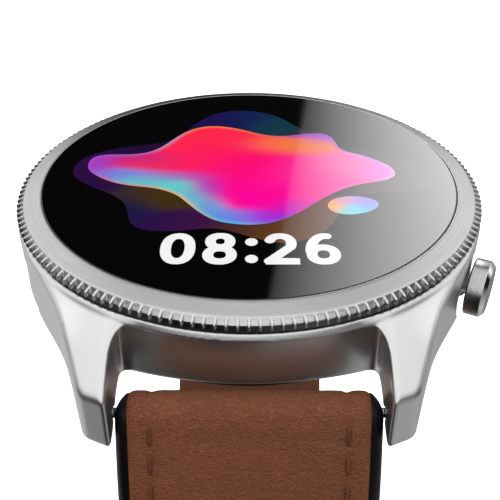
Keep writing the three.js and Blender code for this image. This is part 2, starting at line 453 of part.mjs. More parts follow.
  // keepers: rectangular loops round the strap, with room for the other half on the outside
  const keeper = (sMid, w) => {
    let c = far[0];
    for (const q of far) if (Math.abs(q.s - sMid) < Math.abs(c.s - sMid)) c = q;
    const Tk = new THREE.Vector3(0, Math.sin(c.ph), -Math.cos(c.ph)), Nk = new THREE.Vector3(0, Math.cos(c.ph), Math.sin(c.ph));
    const m = new THREE.Matrix4().makeBasis(new THREE.Vector3(1, 0, 0), Tk, Nk).setPosition(0, c.y, c.z);
    const kw = toManifold(extrudeY(at(roundRect(24.2, 7.6, 1.6, 3), 0, 1.35), -w / 2, w / 2)).subtract(toManifold(extrudeY(at(roundRect(22.4, 6.0, 0.9, 3), 0, 1.35), -w, w)));
    const g = toGeometry(kw); g.applyMatrix4(m); return toManifold(g);
  };
  add('fixed_keeper', keeper(64, 4.5), 0x5f3520, 0.6, 0.0);
  add('free_keeper', keeper(51.5, 4.5), 0x5f3520, 0.6, 0.0);
}

export default watch;
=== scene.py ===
import math

import bpy
import numpy as np
from mathutils import Matrix, Vector
from mathutils.geometry import delaunay_2d_cdt


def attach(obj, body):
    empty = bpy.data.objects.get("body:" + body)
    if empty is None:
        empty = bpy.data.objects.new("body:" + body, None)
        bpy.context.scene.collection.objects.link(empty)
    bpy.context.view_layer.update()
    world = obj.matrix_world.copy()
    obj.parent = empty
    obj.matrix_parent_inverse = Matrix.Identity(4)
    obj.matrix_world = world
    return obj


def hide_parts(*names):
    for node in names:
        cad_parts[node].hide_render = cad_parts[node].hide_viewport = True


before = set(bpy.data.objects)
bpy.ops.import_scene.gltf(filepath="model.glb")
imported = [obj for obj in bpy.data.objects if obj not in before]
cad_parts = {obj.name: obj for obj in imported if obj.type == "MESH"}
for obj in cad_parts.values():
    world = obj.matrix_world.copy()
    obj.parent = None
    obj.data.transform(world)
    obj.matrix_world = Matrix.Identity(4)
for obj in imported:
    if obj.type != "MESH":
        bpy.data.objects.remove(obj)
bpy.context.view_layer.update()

MM = 0.001
scene = bpy.context.scene
rng = np.random.default_rng(7)

# ------------------------------------------------------------------ dimensions, mm, same frame as the CAD
GLASS_Z = 11.4
CASE_R = 23.0
RECESS_R = 21.0
LUG_X = 11.2
BAR_Y, BAR_Z = 23.5, 1.8
CROWN_A = math.radians(-26.2)
CROWN_Z = 5.2
KNURLS = 160
PHI0 = 27.0
NEAR_RUNS = [(8, 0.024), (45, 0.0085), (65, 0.0165)]
ARC_R = 45.16
FAR_RUNS = [(40, 1 / 30), (32, 1 / ARC_R)]

# ------------------------------------------------------------------ camera first
cam_data = bpy.data.cameras.new("camera")
cam = bpy.data.objects.new("camera", cam_data)
scene.collection.objects.link(cam)
cam.location = (0.000075, -0.06998, 0.0495)
cam.rotation_euler = (math.radians(90 - 34.01), 0, 0)
cam_data.sensor_width = 36
cam_data.lens = 56.42
cam_data.clip_start = 0.002
cam_data.clip_end = 20
scene.camera = cam


# ------------------------------------------------------------------ mesh helpers
def make_obj(name, co_mm, quads=None, tris=None, polys=None, smooth=True, parts=()):
    """Object from vertices in mm; quads and tris are index arrays, polys a list of index lists."""
    co = np.asarray(co_mm, float).reshape(-1, 3) * MM
    me = bpy.data.meshes.new(name)
    lens, idx = [], []
    if quads is not None and len(quads):
        q = np.asarray(quads, np.int32).reshape(-1, 4)
        lens.append(np.full(len(q), 4, np.int32)); idx.append(q.ravel())
    if tris is not None and len(tris):
        t = np.asarray(tris, np.int32).reshape(-1, 3)
        lens.append(np.full(len(t), 3, np.int32)); idx.append(t.ravel())
    if polys:
        lens.append(np.array([len(p) for p in polys], np.int32)); idx.append(np.concatenate([np.asarray(p, np.int32) for p in polys]))
    lens = np.concatenate(lens); idx = np.concatenate(idx)
    me.vertices.add(len(co)); me.vertices.foreach_set("co", co.astype(np.float32).ravel())
    me.loops.add(len(idx)); me.loops.foreach_set("vertex_index", idx)
    me.polygons.add(len(lens))
    starts = np.concatenate([[0], np.cumsum(lens)[:-1]]).astype(np.int32)
    me.polygons.foreach_set("loop_start", starts)
    me.polygons.foreach_set("use_smooth", np.full(len(lens), bool(smooth)))
    me.update(calc_edges=True)
    me.validate(clean_customdata=False)
    o = bpy.data.objects.new(name, me)
    scene.collection.objects.link(o)
    return o


def grid_quads(n, m, close_n=False, close_m=False, flip=False, base=0):
    i = np.arange(n if close_n else n - 1)
    j = np.arange(m if close_m else m - 1)
    I, J = np.meshgrid(i, j, indexing="ij")
    a = I * m + J; b = ((I + 1) % n) * m + J; c = ((I + 1) % n) * m + (J + 1) % m; d = I * m + (J + 1) % m
    q = np.stack([a, b, c, d] if not flip else [a, d, c, b], -1).reshape(-1, 4)
    return q + base


def finish_piece(o, mat, body, cad=None, sharp=None):
    o.data.materials.append(mat)
    if sharp is not None:
        o.data.set_sharp_from_angle(angle=math.radians(sharp))
    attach(o, body)
    if cad:
        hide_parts(*([cad] if isinstance(cad, str) else cad))
    return o


def lathe_obj(name, prof, seg, frame_m=None, closed=False):
    """Surface of revolution about local Z of profile [(r, z), ...]. Points at r 0 become poles."""
    prof = np.asarray(prof, float)
    pole0, pole1 = prof[0, 0] < 1e-9, prof[-1, 0] < 1e-9
    body = prof[(1 if pole0 else 0):(len(prof) - 1 if pole1 else len(prof))]
    th = np.arange(seg) * 2 * math.pi / seg
    P = np.stack([np.outer(np.cos(th), body[:, 0]), np.outer(np.sin(th), body[:, 0]), np.outer(np.ones(seg), body[:, 1])], -1)
    m = len(body)
    quads = grid_quads(seg, m, close_n=True, close_m=closed)
    co = P.reshape(-1, 3); tris = []
    if pole0:
        co = np.vstack([co, [[0, 0, prof[0, 1]]]]); c = len(co) - 1
        i = np.arange(seg); tris.append(np.stack([np.full(seg, c), ((i + 1) % seg) * m, i * m], -1))
    if pole1:
        co = np.vstack([co, [[0, 0, prof[-1, 1]]]]); c = len(co) - 1
        i = np.arange(seg); tris.append(np.stack([np.full(seg, c), i * m + m - 1, ((i + 1) % seg) * m + m - 1], -1))
    if frame_m is not None:
        co = co @ frame_m[:3, :3].T + frame_m[:3, 3]
    o = make_obj(name, co, quads=quads, tris=np.concatenate(tris) if tris else None)
    fix_normals(o)
    return o


def fix_normals(o):
    """Turn the faces outwards if the closed mesh is inside out."""
    me = o.data
    me.calc_loop_triangles()
    co = np.zeros(len(me.vertices) * 3); me.vertices.foreach_get("co", co); co = co.reshape(-1, 3)
    t = np.zeros(len(me.loop_triangles) * 3, np.int32); me.loop_triangles.foreach_get("vertices", t); t = t.reshape(-1, 3)
    v = np.einsum("ij,ij->i", co[t[:, 0]], np.cross(co[t[:, 1]], co[t[:, 2]])).sum()
    if v < 0:
        me.flip_normals()


def rounded(prof, radii, n=5):
    """Closed or open polyline with each corner replaced by an arc of the given radius (0 keeps it)."""
    prof = np.asarray(prof, float); out = []
    N = len(prof)
    for i in range(N):
        r = radii[i]
        if r <= 0 or i == 0 or i == N - 1:
            out.append(prof[i]); continue
        p, a, b = prof[i], prof[i - 1], prof[i + 1]
        u, v = a - p, b - p
        lu, lv = np.linalg.norm(u), np.linalg.norm(v); u /= lu; v /= lv
        ang = math.acos(max(-1, min(1, float(u @ v))))
        d = min(r / math.tan(ang / 2), 0.48 * lu, 0.48 * lv)
        for k in range(n + 1):
            t = k / n
            q = (1 - t) ** 2 * (p + u * d) + 2 * t * (1 - t) * p + t * t * (p + v * d)
            out.append(q)
    return np.array(out)


# crown frame: local z runs out along the crown axis
CROWN_M = np.eye(4)
CROWN_M[:3, 0] = (-math.sin(CROWN_A), math.cos(CROWN_A), 0)
CROWN_M[:3, 1] = (0, 0, 1)
CROWN_M[:3, 2] = (math.cos(CROWN_A), math.sin(CROWN_A), 0)
CROWN_M[:3, 3] = (0, 0, CROWN_Z)


# ------------------------------------------------------------------ signed distance tools
def smin(a, b, k):
    h = np.clip(0.5 + 0.5 * (b - a) / k, 0, 1)
    return b + (a - b) * h - k * h * (1 - h)


def smax(a, b, k):
    return -smin(-a, -b, k)


def surface_net(fn, lo, hi, h, project=3):
    """Closed surface of fn < 0 on a grid of step h, with its vertices pulled onto fn = 0."""
    lo = np.array(lo, float); hi = np.array(hi, float)
    n = np.ceil((hi - lo) / h).astype(int) + 1
    xs, ys, zs = (lo[a] + h * np.arange(n[a]) for a in range(3))
    F = np.empty(n, np.float32)
    step = max(1, int(1.5e6 // (n[1] * n[2])))
    for i in range(0, n[0], step):
        X, Y, Z = np.meshgrid(xs[i:i + step], ys, zs, indexing="ij")
        F[i:i + step] = fn(X, Y, Z)
    S = F < 0
    c = S[:-1, :-1, :-1].astype(np.int8)
    for dx in (0, 1):
        for dy in (0, 1):
            for dz in (0, 1):
                if dx or dy or dz:
                    c = c + S[dx:n[0] - 1 + dx, dy:n[1] - 1 + dy, dz:n[2] - 1 + dz]
    act = np.argwhere((c > 0) & (c < 8))
    idx = np.full(tuple(n - 1), -1, np.int32)
    idx[act[:, 0], act[:, 1], act[:, 2]] = np.arange(len(act))
    acc = np.zeros((len(act), 3)); cnt = np.zeros(len(act))
    corners = [(a, b, d) for a in (0, 1) for b in (0, 1) for d in (0, 1)]
    vals = {k: F[act[:, 0] + k[0], act[:, 1] + k[1], act[:, 2] + k[2]].astype(float) for k in corners}
    for a in corners:
        for ax in range(3):
            if a[ax] == 0:
                b = list(a); b[ax] = 1; b = tuple(b)
                va, vb = vals[a], vals[b]
                m = (va < 0) != (vb < 0)
                t = np.where(m, va / np.where(m, va - vb, 1), 0)
                p = np.tile(np.array(a, float), (len(act), 1)); p[:, ax] = t
                acc[m] += p[m]; cnt[m] += 1
    P = lo + h * (act + acc / cnt[:, None])
    quads = []
    for ax in range(3):
        u, v = (ax + 1) % 3, (ax + 2) % 3
        sl0 = [slice(None)] * 3; sl1 = [slice(None)] * 3
        sl0[ax] = slice(0, -1); sl1[ax] = slice(1, None)
        A, B = S[tuple(sl0)], S[tuple(sl1)]
        for inside_first in (True, False):
            m = (A & ~B) if inside_first else (~A & B)
            e = np.argwhere(m)
            e = e[(e[:, u] > 0) & (e[:, v] > 0) & (e[:, u] < n[u] - 1) & (e[:, v] < n[v] - 1)]
            q = []
            for du, dv in ((1, 1), (0, 1), (0, 0), (1, 0)):
                k = e.copy(); k[:, u] -= du; k[:, v] -= dv
                q.append(idx[k[:, 0], k[:, 1], k[:, 2]])
            q = np.stack(q if inside_first else q[::-1], -1)
            quads.append(q)
    quads = np.concatenate(quads)
    quads = quads[(quads >= 0).all(1)]
    e = h * 0.05
    for _ in range(project):
        f0 = fn(P[:, 0], P[:, 1], P[:, 2])
        g = np.stack([fn(P[:, 0] + e, P[:, 1], P[:, 2]) - f0, fn(P[:, 0], P[:, 1] + e, P[:, 2]) - f0, fn(P[:, 0], P[:, 1], P[:, 2] + e) - f0], -1) / e
        g2 = np.maximum((g ** 2).sum(-1), 0.05)
        d = np.clip(f0 / g2, -h, h)
        P = P - g * d[:, None] * 0.9
    return P, quads


# ------------------------------------------------------------------ material helpers
def new_mat(name):
    m = bpy.data.materials.new(name)
    m.use_nodes = True
    nt = m.node_tree
    b = nt.nodes["Principled BSDF"]
    return m, nt, b


def link(nt, a, b):
    nt.links.new(a, b)


def add_bump(nt, bsdf, height, strength, distance, normal=None):
    n = nt.nodes.new("ShaderNodeBump")
    n.inputs["Strength"].default_value = strength
    n.inputs["Distance"].default_value = distance
    link(nt, height, n.inputs["Height"])
    if normal is not None:
        link(nt, normal, n.inputs["Normal"])
    link(nt, n.outputs["Normal"], bsdf.inputs["Normal"])
    return n.outputs["Normal"]


def noise(nt, coord, scale, detail=2.0, rough=0.5, dist=0.0):
    n = nt.nodes.new("ShaderNodeTexNoise")
    n.inputs["Scale"].default_value = scale
    n.inputs["Detail"].default_value = detail
    n.inputs["Roughness"].default_value = rough
    n.inputs["Distortion"].default_value = dist
    if coord is not None:
        link(nt, coord, n.inputs["Vector"])
    return n.outputs["Fac"]


def voronoi(nt, coord, scale, feature="F1", rnd=1.0, out="Distance"):
    n = nt.nodes.new("ShaderNodeTexVoronoi")
    n.feature = feature
    n.inputs["Scale"].default_value = scale
    n.inputs["Randomness"].default_value = rnd
    link(nt, coord, n.inputs["Vector"])
    return n.outputs[out]


def maprange(nt, v, a, b, c, d, smooth=False):
    n = nt.nodes.new("ShaderNodeMapRange")
    if smooth:
        n.interpolation_type = "SMOOTHSTEP"
    n.inputs["From Min"].default_value = a; n.inputs["From Max"].default_value = b
    n.inputs["To Min"].default_value = c; n.inputs["To Max"].default_value = d
    link(nt, v, n.inputs["Value"])
    return n.outputs["Result"]


def math_node(nt, op, a, b=None, clamp=False):
    n = nt.nodes.new("ShaderNodeMath"); n.operation = op; n.use_clamp = clamp
    for i, v in enumerate((a, b)):
        if v is None:
            continue
        if isinstance(v, (int, float)):
            n.inputs[i].default_value = v
        else:
            link(nt, v, n.inputs[i])
    return n.outputs[0]


def mixcol(nt, fac, a, b, mode="MIX"):
    n = nt.nodes.new("ShaderNodeMix"); n.data_type = "RGBA"; n.blend_type = mode
    if isinstance(fac, (int, float)):
        n.inputs[0].default_value = fac
    else:
        link(nt, fac, n.inputs[0])
    for i, v in ((6, a), (7, b)):
        if isinstance(v, tuple):
            n.inputs[i].default_value = (*v[:3], 1)
        else:
            link(nt, v, n.inputs[i])
    return n.outputs[2]


def objcoord(nt):
    return nt.nodes.new("ShaderNodeTexCoord").outputs["Object"]


def srgb(r, g, b):
    f = lambda c: (c / 255) / 12.92 if c / 255 <= 0.04045 else ((c / 255 + 0.055) / 1.055) ** 2.4
    return (f(r), f(g), f(b))


def metal_mat(name, col, rough, grain=9000, bump=0.12, dist=2e-5, aniso=0.0, radial=False, wear=0.06):
    m, nt, b = new_mat(name)
    co = objcoord(nt)
    b.inputs["Metallic"].default_value = 1.0
    n1 = noise(nt, co, grain, 2.0)
    n2 = noise(nt, co, 140, 3.0)
    c = mixcol(nt, maprange(nt, n2, 0.35, 0.65, 0, 1), tuple(x * (1 - wear) for x in col), tuple(min(1, x * (1 + wear)) for x in col))
    c = mixcol(nt, maprange(nt, n1, 0.3, 0.7, 0.0, 0.12), c, tuple(x * 0.55 for x in col))
    link(nt, c, b.inputs["Base Color"])
    r = math_node(nt, "ADD", maprange(nt, n2, 0.3, 0.7, rough - 0.03, rough + 0.03), maprange(nt, n1, 0.3, 0.7, -0.03, 0.03))
    link(nt, r, b.inputs["Roughness"])
    if aniso:
        b.inputs["Anisotropic"].default_value = aniso
        if radial:
            t = nt.nodes.new("ShaderNodeTangent"); t.direction_type = "RADIAL"; t.axis = "Z"
            link(nt, t.outputs[0], b.inputs["Tangent"])
    add_bump(nt, b, n1, bump, dist)
    return m


def brushed_ring_mat(name, col, rough, axis_m=None, scale=6500, aniso=0.6, streak=0.5):
    """Fine lines running round the Z axis (or the crown axis): noise that varies with radius and height only."""
    m, nt, b = new_mat(name)
    co = objcoord(nt)
    b.inputs["Metallic"].default_value = 1.0
    if axis_m is not None:
        mp = nt.nodes.new("ShaderNodeMapping"); mp.vector_type = "POINT"
        inv = Matrix(np.linalg.inv(axis_m).tolist())
        mp.inputs["Rotation"].default_value = inv.to_euler()
        mp.inputs["Location"].default_value = inv.translation * MM
        link(nt, co, mp.inputs["Vector"]); co = mp.outputs["Vector"]
    sep = nt.nodes.new("ShaderNodeSeparateXYZ"); link(nt, co, sep.inputs[0])
    r = math_node(nt, "SQRT", math_node(nt, "ADD", math_node(nt, "MULTIPLY", sep.outputs[0], sep.outputs[0]), math_node(nt, "MULTIPLY", sep.outputs[1], sep.outputs[1])))
    comb = nt.nodes.new("ShaderNodeCombineXYZ")
    link(nt, r, comb.inputs[0]); link(nt, sep.outputs[2], comb.inputs[1])
    ang = nt.nodes.new("ShaderNodeMath"); ang.operation = "ARCTAN2"
    link(nt, sep.outputs[1], ang.inputs[0]); link(nt, sep.outputs[0], ang.inputs[1])
    link(nt, math_node(nt, "MULTIPLY", ang.outputs[0], 0.0006), comb.inputs[2])
    lines = noise(nt, comb.outputs[0], scale, 3.0, 0.6)
    blot = noise(nt, co, 160, 2.0)
    c = mixcol(nt, maprange(nt, lines, 0.3, 0.7, 0, streak), col, tuple(x * 0.72 for x in col))
    c = mixcol(nt, maprange(nt, blot, 0.35, 0.65, 0, 0.3), c, tuple(min(1, x * 1.08) for x in col))
    link(nt, c, b.inputs["Base Color"])
    link(nt, maprange(nt, lines, 0.3, 0.7, rough - 0.06, rough + 0.06), b.inputs["Roughness"])
    b.inputs["Anisotropic"].default_value = aniso
    t = nt.nodes.new("ShaderNodeTangent"); t.direction_type = "RADIAL"; t.axis = "Z"
    if axis_m is None:
        link(nt, t.outputs[0], b.inputs["Tangent"])
    add_bump(nt, b, lines, 0.18, 1.5e-5)
    return m


def plastic_mat(name, col, rough, grain=4000, bump=0.1, coat=0.0):
    m, nt, b = new_mat(name)
    co = objcoord(nt)
    n1 = noise(nt, co, grain, 3.0)
    n2 = noise(nt, co, 300, 2.0)
    c = mixcol(nt, maprange(nt, n2, 0.3, 0.7, 0, 1), tuple(x * 0.85 for x in col), tuple(x * 1.15 for x in col))
    link(nt, c, b.inputs["Base Color"])
    link(nt, maprange(nt, n1, 0.3, 0.7, rough - 0.05, rough + 0.05), b.inputs["Roughness"])
    if coat:
        b.inputs["Coat Weight"].default_value = coat
        b.inputs["Coat Roughness"].default_value = 0.05
    add_bump(nt, b, n1, bump, 2e-5)
    return m


def leather_mat(name, col, dark, rough=0.5, cell=1500, bump=0.55):
    """Fine boarded grain: short wavy creases about 0.4 mm apart, pores, soft colour mottling and painted shade
    darkening the crease valleys.
    """
    m, nt, b = new_mat(name)
    co = objcoord(nt)
    mp = nt.nodes.new("ShaderNodeMapping"); mp.inputs["Scale"].default_value = (0.75, 1.15, 1.15)
    link(nt, co, mp.inputs["Vector"])
    n1 = noise(nt, mp.outputs[0], cell, 1.5, 0.5, 0.9)
    n2 = noise(nt, mp.outputs[0], cell * 2.1, 2.0, 0.5, 0.6)
    r1 = math_node(nt, "ABSOLUTE", math_node(nt, "SUBTRACT", n1, 0.5))
    r2 = math_node(nt, "ABSOLUTE", math_node(nt, "SUBTRACT", n2, 0.5))
    creases = maprange(nt, r1, 0.0, 0.10, 0, 1, True)
    small = maprange(nt, r2, 0.0, 0.12, 0, 1, True)
    fine = noise(nt, co, cell * 6, 2.0)
    mott = noise(nt, co, 90, 4.0, 0.6)
    mott2 = noise(nt, co, 420, 3.0, 0.6)
    h = math_node(nt, "ADD", math_node(nt, "MULTIPLY", creases, 0.6), math_node(nt, "MULTIPLY", small, 0.45))
    h = math_node(nt, "ADD", h, math_node(nt, "MULTIPLY", fine, 0.18))
    c = mixcol(nt, maprange(nt, mott, 0.3, 0.7, 0, 1), col, tuple(x * 0.88 for x in col))
    c = mixcol(nt, maprange(nt, mott2, 0.35, 0.75, 0, 0.35), c, tuple(min(1, x * 1.18) for x in col))
    # painted shade: the crease valleys are mixed towards the dark colour
    c = mixcol(nt, maprange(nt, h, 0.15, 0.9, 0.30, 0.0), c, dark)
    link(nt, c, b.inputs["Base Color"])
    link(nt, maprange(nt, h, 0.2, 1.1, rough + 0.12, rough - 0.02), b.inputs["Roughness"])
    b.inputs["Specular IOR Level"].default_value = 0.4
    add_bump(nt, b, h, bump, 1.5e-4)
    return m


M_BLAST = metal_mat("blasted_steel", (0.72, 0.72, 0.72), 0.34, grain=11000, bump=0.10, dist=1e-5, wear=0.02)
M_BEZEL = brushed_ring_mat("bezel_brushed", (0.64, 0.64, 0.645), 0.30)
M_CROWN = brushed_ring_mat("crown_brushed", (0.50, 0.50, 0.50), 0.26, axis_m=CROWN_M, scale=8000, aniso=0.3)
M_POLISH = metal_mat("polished_steel", (0.74, 0.74, 0.75), 0.13, grain=3000, bump=0.03)
# dark neck metal: partly the real black neck rings, partly painted shadow in the crown pocket
M_NECK_DARK_AND_SHADE = metal_mat("tube_black_and_painted_shade", (0.10, 0.10, 0.10), 0.24, grain=5000, bump=0.05)
M_EDGE = plastic_mat("edge_paint", srgb(8, 8, 9), 0.40, grain=3500, bump=0.18)
M_EDGE.node_tree.nodes["Principled BSDF"].inputs["Specular IOR Level"].default_value = 0.22
M_BLACK = plastic_mat("black_polymer", srgb(24, 24, 26), 0.5, grain=9000, bump=0.25)
M_LEATHER = leather_mat("leather_brown", srgb(146, 85, 53), srgb(74, 38, 21), cell=1900, bump=0.6)
M_LINING = leather_mat("leather_lining", srgb(124, 74, 48), srgb(70, 40, 26), rough=0.6, cell=2400, bump=0.3)
M_THREAD = plastic_mat("thread_brown", srgb(112, 64, 40), 0.7, grain=16000, bump=0.5)
M_BOARD = plastic_mat("board_green", (0.02, 0.11, 0.05), 0.45, grain=2500)
M_CHIP = plastic_mat("chip_black", (0.02, 0.02, 0.022), 0.4)
M_BATT = plastic_mat("battery_wrap", (0.09, 0.10, 0.12), 0.35, grain=1500)
M_FLEX = plastic_mat("flex_amber", (0.45, 0.22, 0.05), 0.4)
M_RUBBER = plastic_mat("seal_rubber", (0.018, 0.018, 0.018), 0.65)
M_GOLD = metal_mat("contact_gold", (0.83, 0.60, 0.28), 0.22, grain=4000)
M_SENSOR = plastic_mat("sensor_glass", (0.008, 0.008, 0.010), 0.08, grain=1200, bump=0.01, coat=1.0)
M_LED = plastic_mat("led_lens", (0.6, 0.66, 0.5), 0.2)

# ------------------------------------------------------------------ case middle
TY = np.array([0, 8, 12, 14, 16, 18, 19.5, 21, 22.4, 23.6, 24.8, 25.5, 25.9, 26.4])
TZ = np.array([9.62, 9.58, 9.5, 9.30, 8.98, 8.60, 8.15, 7.42, 6.34, 5.18, 3.88, 2.75, 1.65, 0.0])
BYS = np.array([0, 19.6, 20.8, 22.2, 23.6, 24.8, 26.0, 27.0])
BZS = np.array([2.4, 2.42, 2.5, 2.15, 1.25, 0.72, 0.58, 0.55])
_yy = np.linspace(0, 30, 1201)


def _smooth_table(y, z, w):
    t = np.interp(_yy, y, z)
    k = np.hanning(w); k /= k.sum()
    return np.convolve(np.pad(t, w // 2, mode="edge"), k, mode="valid")[:len(_yy)]


T_TAB = _smooth_table(TY, TZ, 61)
B_TAB = _smooth_table(BYS, BZS, 61)
T_SLOPE = np.gradient(T_TAB, _yy)
B_SLOPE = np.gradient(B_TAB, _yy)


def case_sdf(x, y, z):
    ax, ay = np.abs(x), np.abs(y)
    r = np.sqrt(x * x + y * y) + 1e-9
    # side wall, slightly hollow between lip and foot
    wall_r = CASE_R + 0.0 - 0.05 * np.clip(1 - ((z - 5.9) / 3.0) ** 2, 0, 1) - 0.25 * np.clip((3.4 - z) / 1.0, 0, 1) ** 2
    d_circle = r - wall_r
    d_taper = 0.939 * (ax - 17.35) + 0.3445 * (ay - 15.1) + 0.22 * np.clip((z - 2.0) / 6.0, 0, 1) * 0
    d_tip = 0.40 * (ax - 11.2) + 0.9165 * (ay - 26.4)
    d_lug = smax(d_taper, d_tip, 0.45)
    d_lug = np.maximum(d_lug, 13.0 - ay)
    d_lug = np.maximum(d_lug, 10.8 - ax)
    plan = smin(d_circle, d_lug, 2.2)
    T = np.interp(ay, _yy, T_TAB); Ts = np.interp(ay, _yy, T_SLOPE)
    # skirt that carries the lug tops up to the lip
    lw = np.clip((ax - 8.8) / 3.0, 0, 1)
    lw = lw * lw * (3 - 2 * lw)
    skirt = 9.0 + 0.47 * lw - (0.92 - 0.30 * lw) * (r - 22.95 + 0.20 * lw)
    Ts = np.where(skirt > T, -0.92 + 0.30 * lw, Ts)
    T = np.where(r > 22.6, smax(T, np.minimum(skirt, 9.3 + 0.2 * lw), 0.35 + 0.55 * lw), T)
    B = np.interp(ay, _yy, B_TAB); Bs = np.interp(ay, _yy, B_SLOPE)
    top = (z - T) / np.sqrt(1 + Ts * Ts)
    bot = (B - z) / np.sqrt(1 + Bs * Bs)
    d = smax(plan, top, 0.5)
    d = smax(d, bot, 0.42)
    # lip under the bezel
    lip = smax(smax(r - 22.98, z - 9.55, 0.12), 7.0 - z, 0.3)
    # sloping: steep over the recess, in line with the lug tops elsewhere
    cone = 0.92 * (r - 22.72) + 0.39 * (z - 9.55)
    cone_l = 0.527 * (r - 22.75) + 0.850 * (z - 9.5)
    lip = smax(lip, (1 - lw) * cone + lw * cone_l, 0.12)
    d = smin(d, lip, 0.35)
    d = smax(d, np.minimum(cone, 23.25 - r) - 0.9 * lw, 0.2)
    # recess between the lugs
    rc = smax(ax - LUG_X, z - 8.8, 1.9)
    r_wall = np.sqrt(ax * ax + (ay + 10.0) ** 2)
    rc = smax(rc, 30.9 + 0.10 * np.clip((9 - z) / 6, 0, 1) - r_wall, 1.3)
    rc = np.maximum(rc, 8.0 - ay)
    d = smax(d, -rc, 0.42 - 0.16 * np.clip((z - 7.6) / 0.8, 0, 1))
    # crown pocket
    rho = x * math.cos(CROWN_A) + y * math.sin(CROWN_A)
    t = -x * math.sin(CROWN_A) + y * math.cos(CROWN_A)
    q = np.sqrt(t * t + (z - CROWN_Z) ** 2)
    pk = smax(q - 3.12, 21.7 - rho, 0.9)
    d = smax(d, -pk, 0.25)
    # spring bar holes
    hb = np.sqrt((ay - BAR_Y) ** 2 + (z - BAR_Z) ** 2) - 0.62
    hb = np.maximum(np.maximum(hb, ax - 12.7), 10.0 - ax)
    d = smax(d, -hb, 0.12)
    # sound slot at 12 o'clock, microphone port
    sl = np.sqrt(np.maximum(ax - 2.5, 0) ** 2 + (z - 6.2) ** 2) - 0.45
    d = smax(d, -np.maximum(sl, 15 - y), 0.15)
    a = math.radians(-35); mx, my = -math.cos(a), -math.sin(a)
    tt = -x * my + y * mx
    mp = np.sqrt(tt * tt + (z - 6.4) ** 2) - 0.4
    d = smax(d, -np.maximum(mp, 18 - (x * mx + y * my)), 0.12)
    # cavity, back opening, seat and neck for the glass
    cav = np.maximum(np.maximum(r - 19.5, 3.6 - z), z - 9.9)
    cav = np.minimum(cav, np.maximum(r - 15.6, z - 5))
    cav = np.minimum(cav, np.maximum(r - 20.75, 9.7 - z))
    neck = np.maximum(np.maximum(r - 21.4, z - 10.35), 9.0 - z)
    d = np.minimum(d, neck)
    d = smax(d, -cav, 0.12)
    return d


CASE_H = 0.145
P, Q = surface_net(case_sdf, (-24.2, -27, -0.2), (24.2, 27, 11.0), CASE_H)
case = make_obj("case_body", P, quads=Q)
fix_normals(case)
finish_piece(case, M_BLAST, "case", "case_middle")

# ------------------------------------------------------------------ rotating bezel
def build_bezel():
    # plain ring: inner edge, sloping top, valley wall, collar (painted dark as shade further down), underside
    prof = rounded([(21.62, 10.72), (20.61, 10.72), (20.61, 11.40), (22.32, 10.965), (22.48, 10.70), (22.66, 10.42), (22.70, 9.76), (22.32, 9.76), (22.32, 10.45)],
                   [0, 0.05, 0.06, 0.10, 0.10, 0.06, 0.08, 0.05, 0], 4)
    per = 18
    seg = KNURLS * per
    th = np.arange(seg) * 2 * math.pi / seg - math.pi / 2
    f = ((np.arange(seg) / per + 0.5) % 1.0) - 0.5
    pts = []
    for a, b in zip(prof[:-1], prof[1:]):
        L = np.linalg.norm(b - a)
        mid = 0.5 * (a + b)
        hstep = 0.055 if (mid[0] > 22.0 and mid[1] > 9.95) else 0.25
        n = max(1, int(math.ceil(L / hstep)))
        for k in range(n):
            pts.append(a + (b - a) * k / n)
    pts.append(prof[-1])
    pts = np.array(pts)
    R = np.tile(pts[:, 0], (seg, 1)); Z = np.tile(pts[:, 1], (seg, 1))
    F = np.abs(f)[:, None]
    # each ridge is a round-backed rib: pointed where it runs into the slope, round at the foot, proud of the collar
    zb, zt = 10.12, 11.03
    u = (Z - zb) / (zt - zb)
    half = np.where(u > 0.78, 0.16 * np.sqrt(np.clip((1 - u) / 0.22, 0, 1)), 0.16)
    half = np.where(u < 0.14, 0.16 * np.sqrt(np.clip(1 - ((0.14 - u) / 0.14) ** 2, 0, 1)), half)
    crest = np.interp(Z, [10.0, 10.56, 10.66, 11.03], [23.03, 23.03, 22.95, 22.08])
    shape = np.sqrt(np.clip(1 - (F / np.maximum(half, 1e-4)) ** 3.6, 0, 1))
    on = (u > 0) & (u < 1) & (half > 0.01) & (R > 21.9)
    R = np.where(on, R + (np.maximum(crest, R) - R) * shape, R)
    co = np.stack([R * np.cos(th)[:, None], R * np.sin(th)[:, None], Z], -1)
    q = grid_quads(seg, len(pts), close_n=True, close_m=True)
    o = make_obj("bezel_ring", co.reshape(-1, 3), quads=q)
    fix_normals(o)
    return o


bez = build_bezel()
finish_piece(bez, M_BEZEL, "bezel", "rotating_bezel", sharp=38)
# painted shade: the collar faces under the ribs get a dark metal so the gap between bezel and lip reads as shadow
M_COLLAR_SHADE = metal_mat("bezel_collar_painted_shade", (0.16, 0.16, 0.165), 0.35, grain=3000, bump=0.02)
bez.data.materials.append(M_COLLAR_SHADE)
_n = len(bez.data.polygons)
_c = np.empty(_n * 3); bez.data.polygons.foreach_get("center", _c)
_c = _c.reshape(-1, 3) / MM
_r = np.hypot(_c[:, 0], _c[:, 1])
_collar_shade = (_c[:, 2] < 10.34) & (_r > 22.5) & (_r < 22.80)
_mi = np.zeros(_n, dtype=np.int32); _mi[_collar_shade] = 1
bez.data.polygons.foreach_set("material_index", _mi)

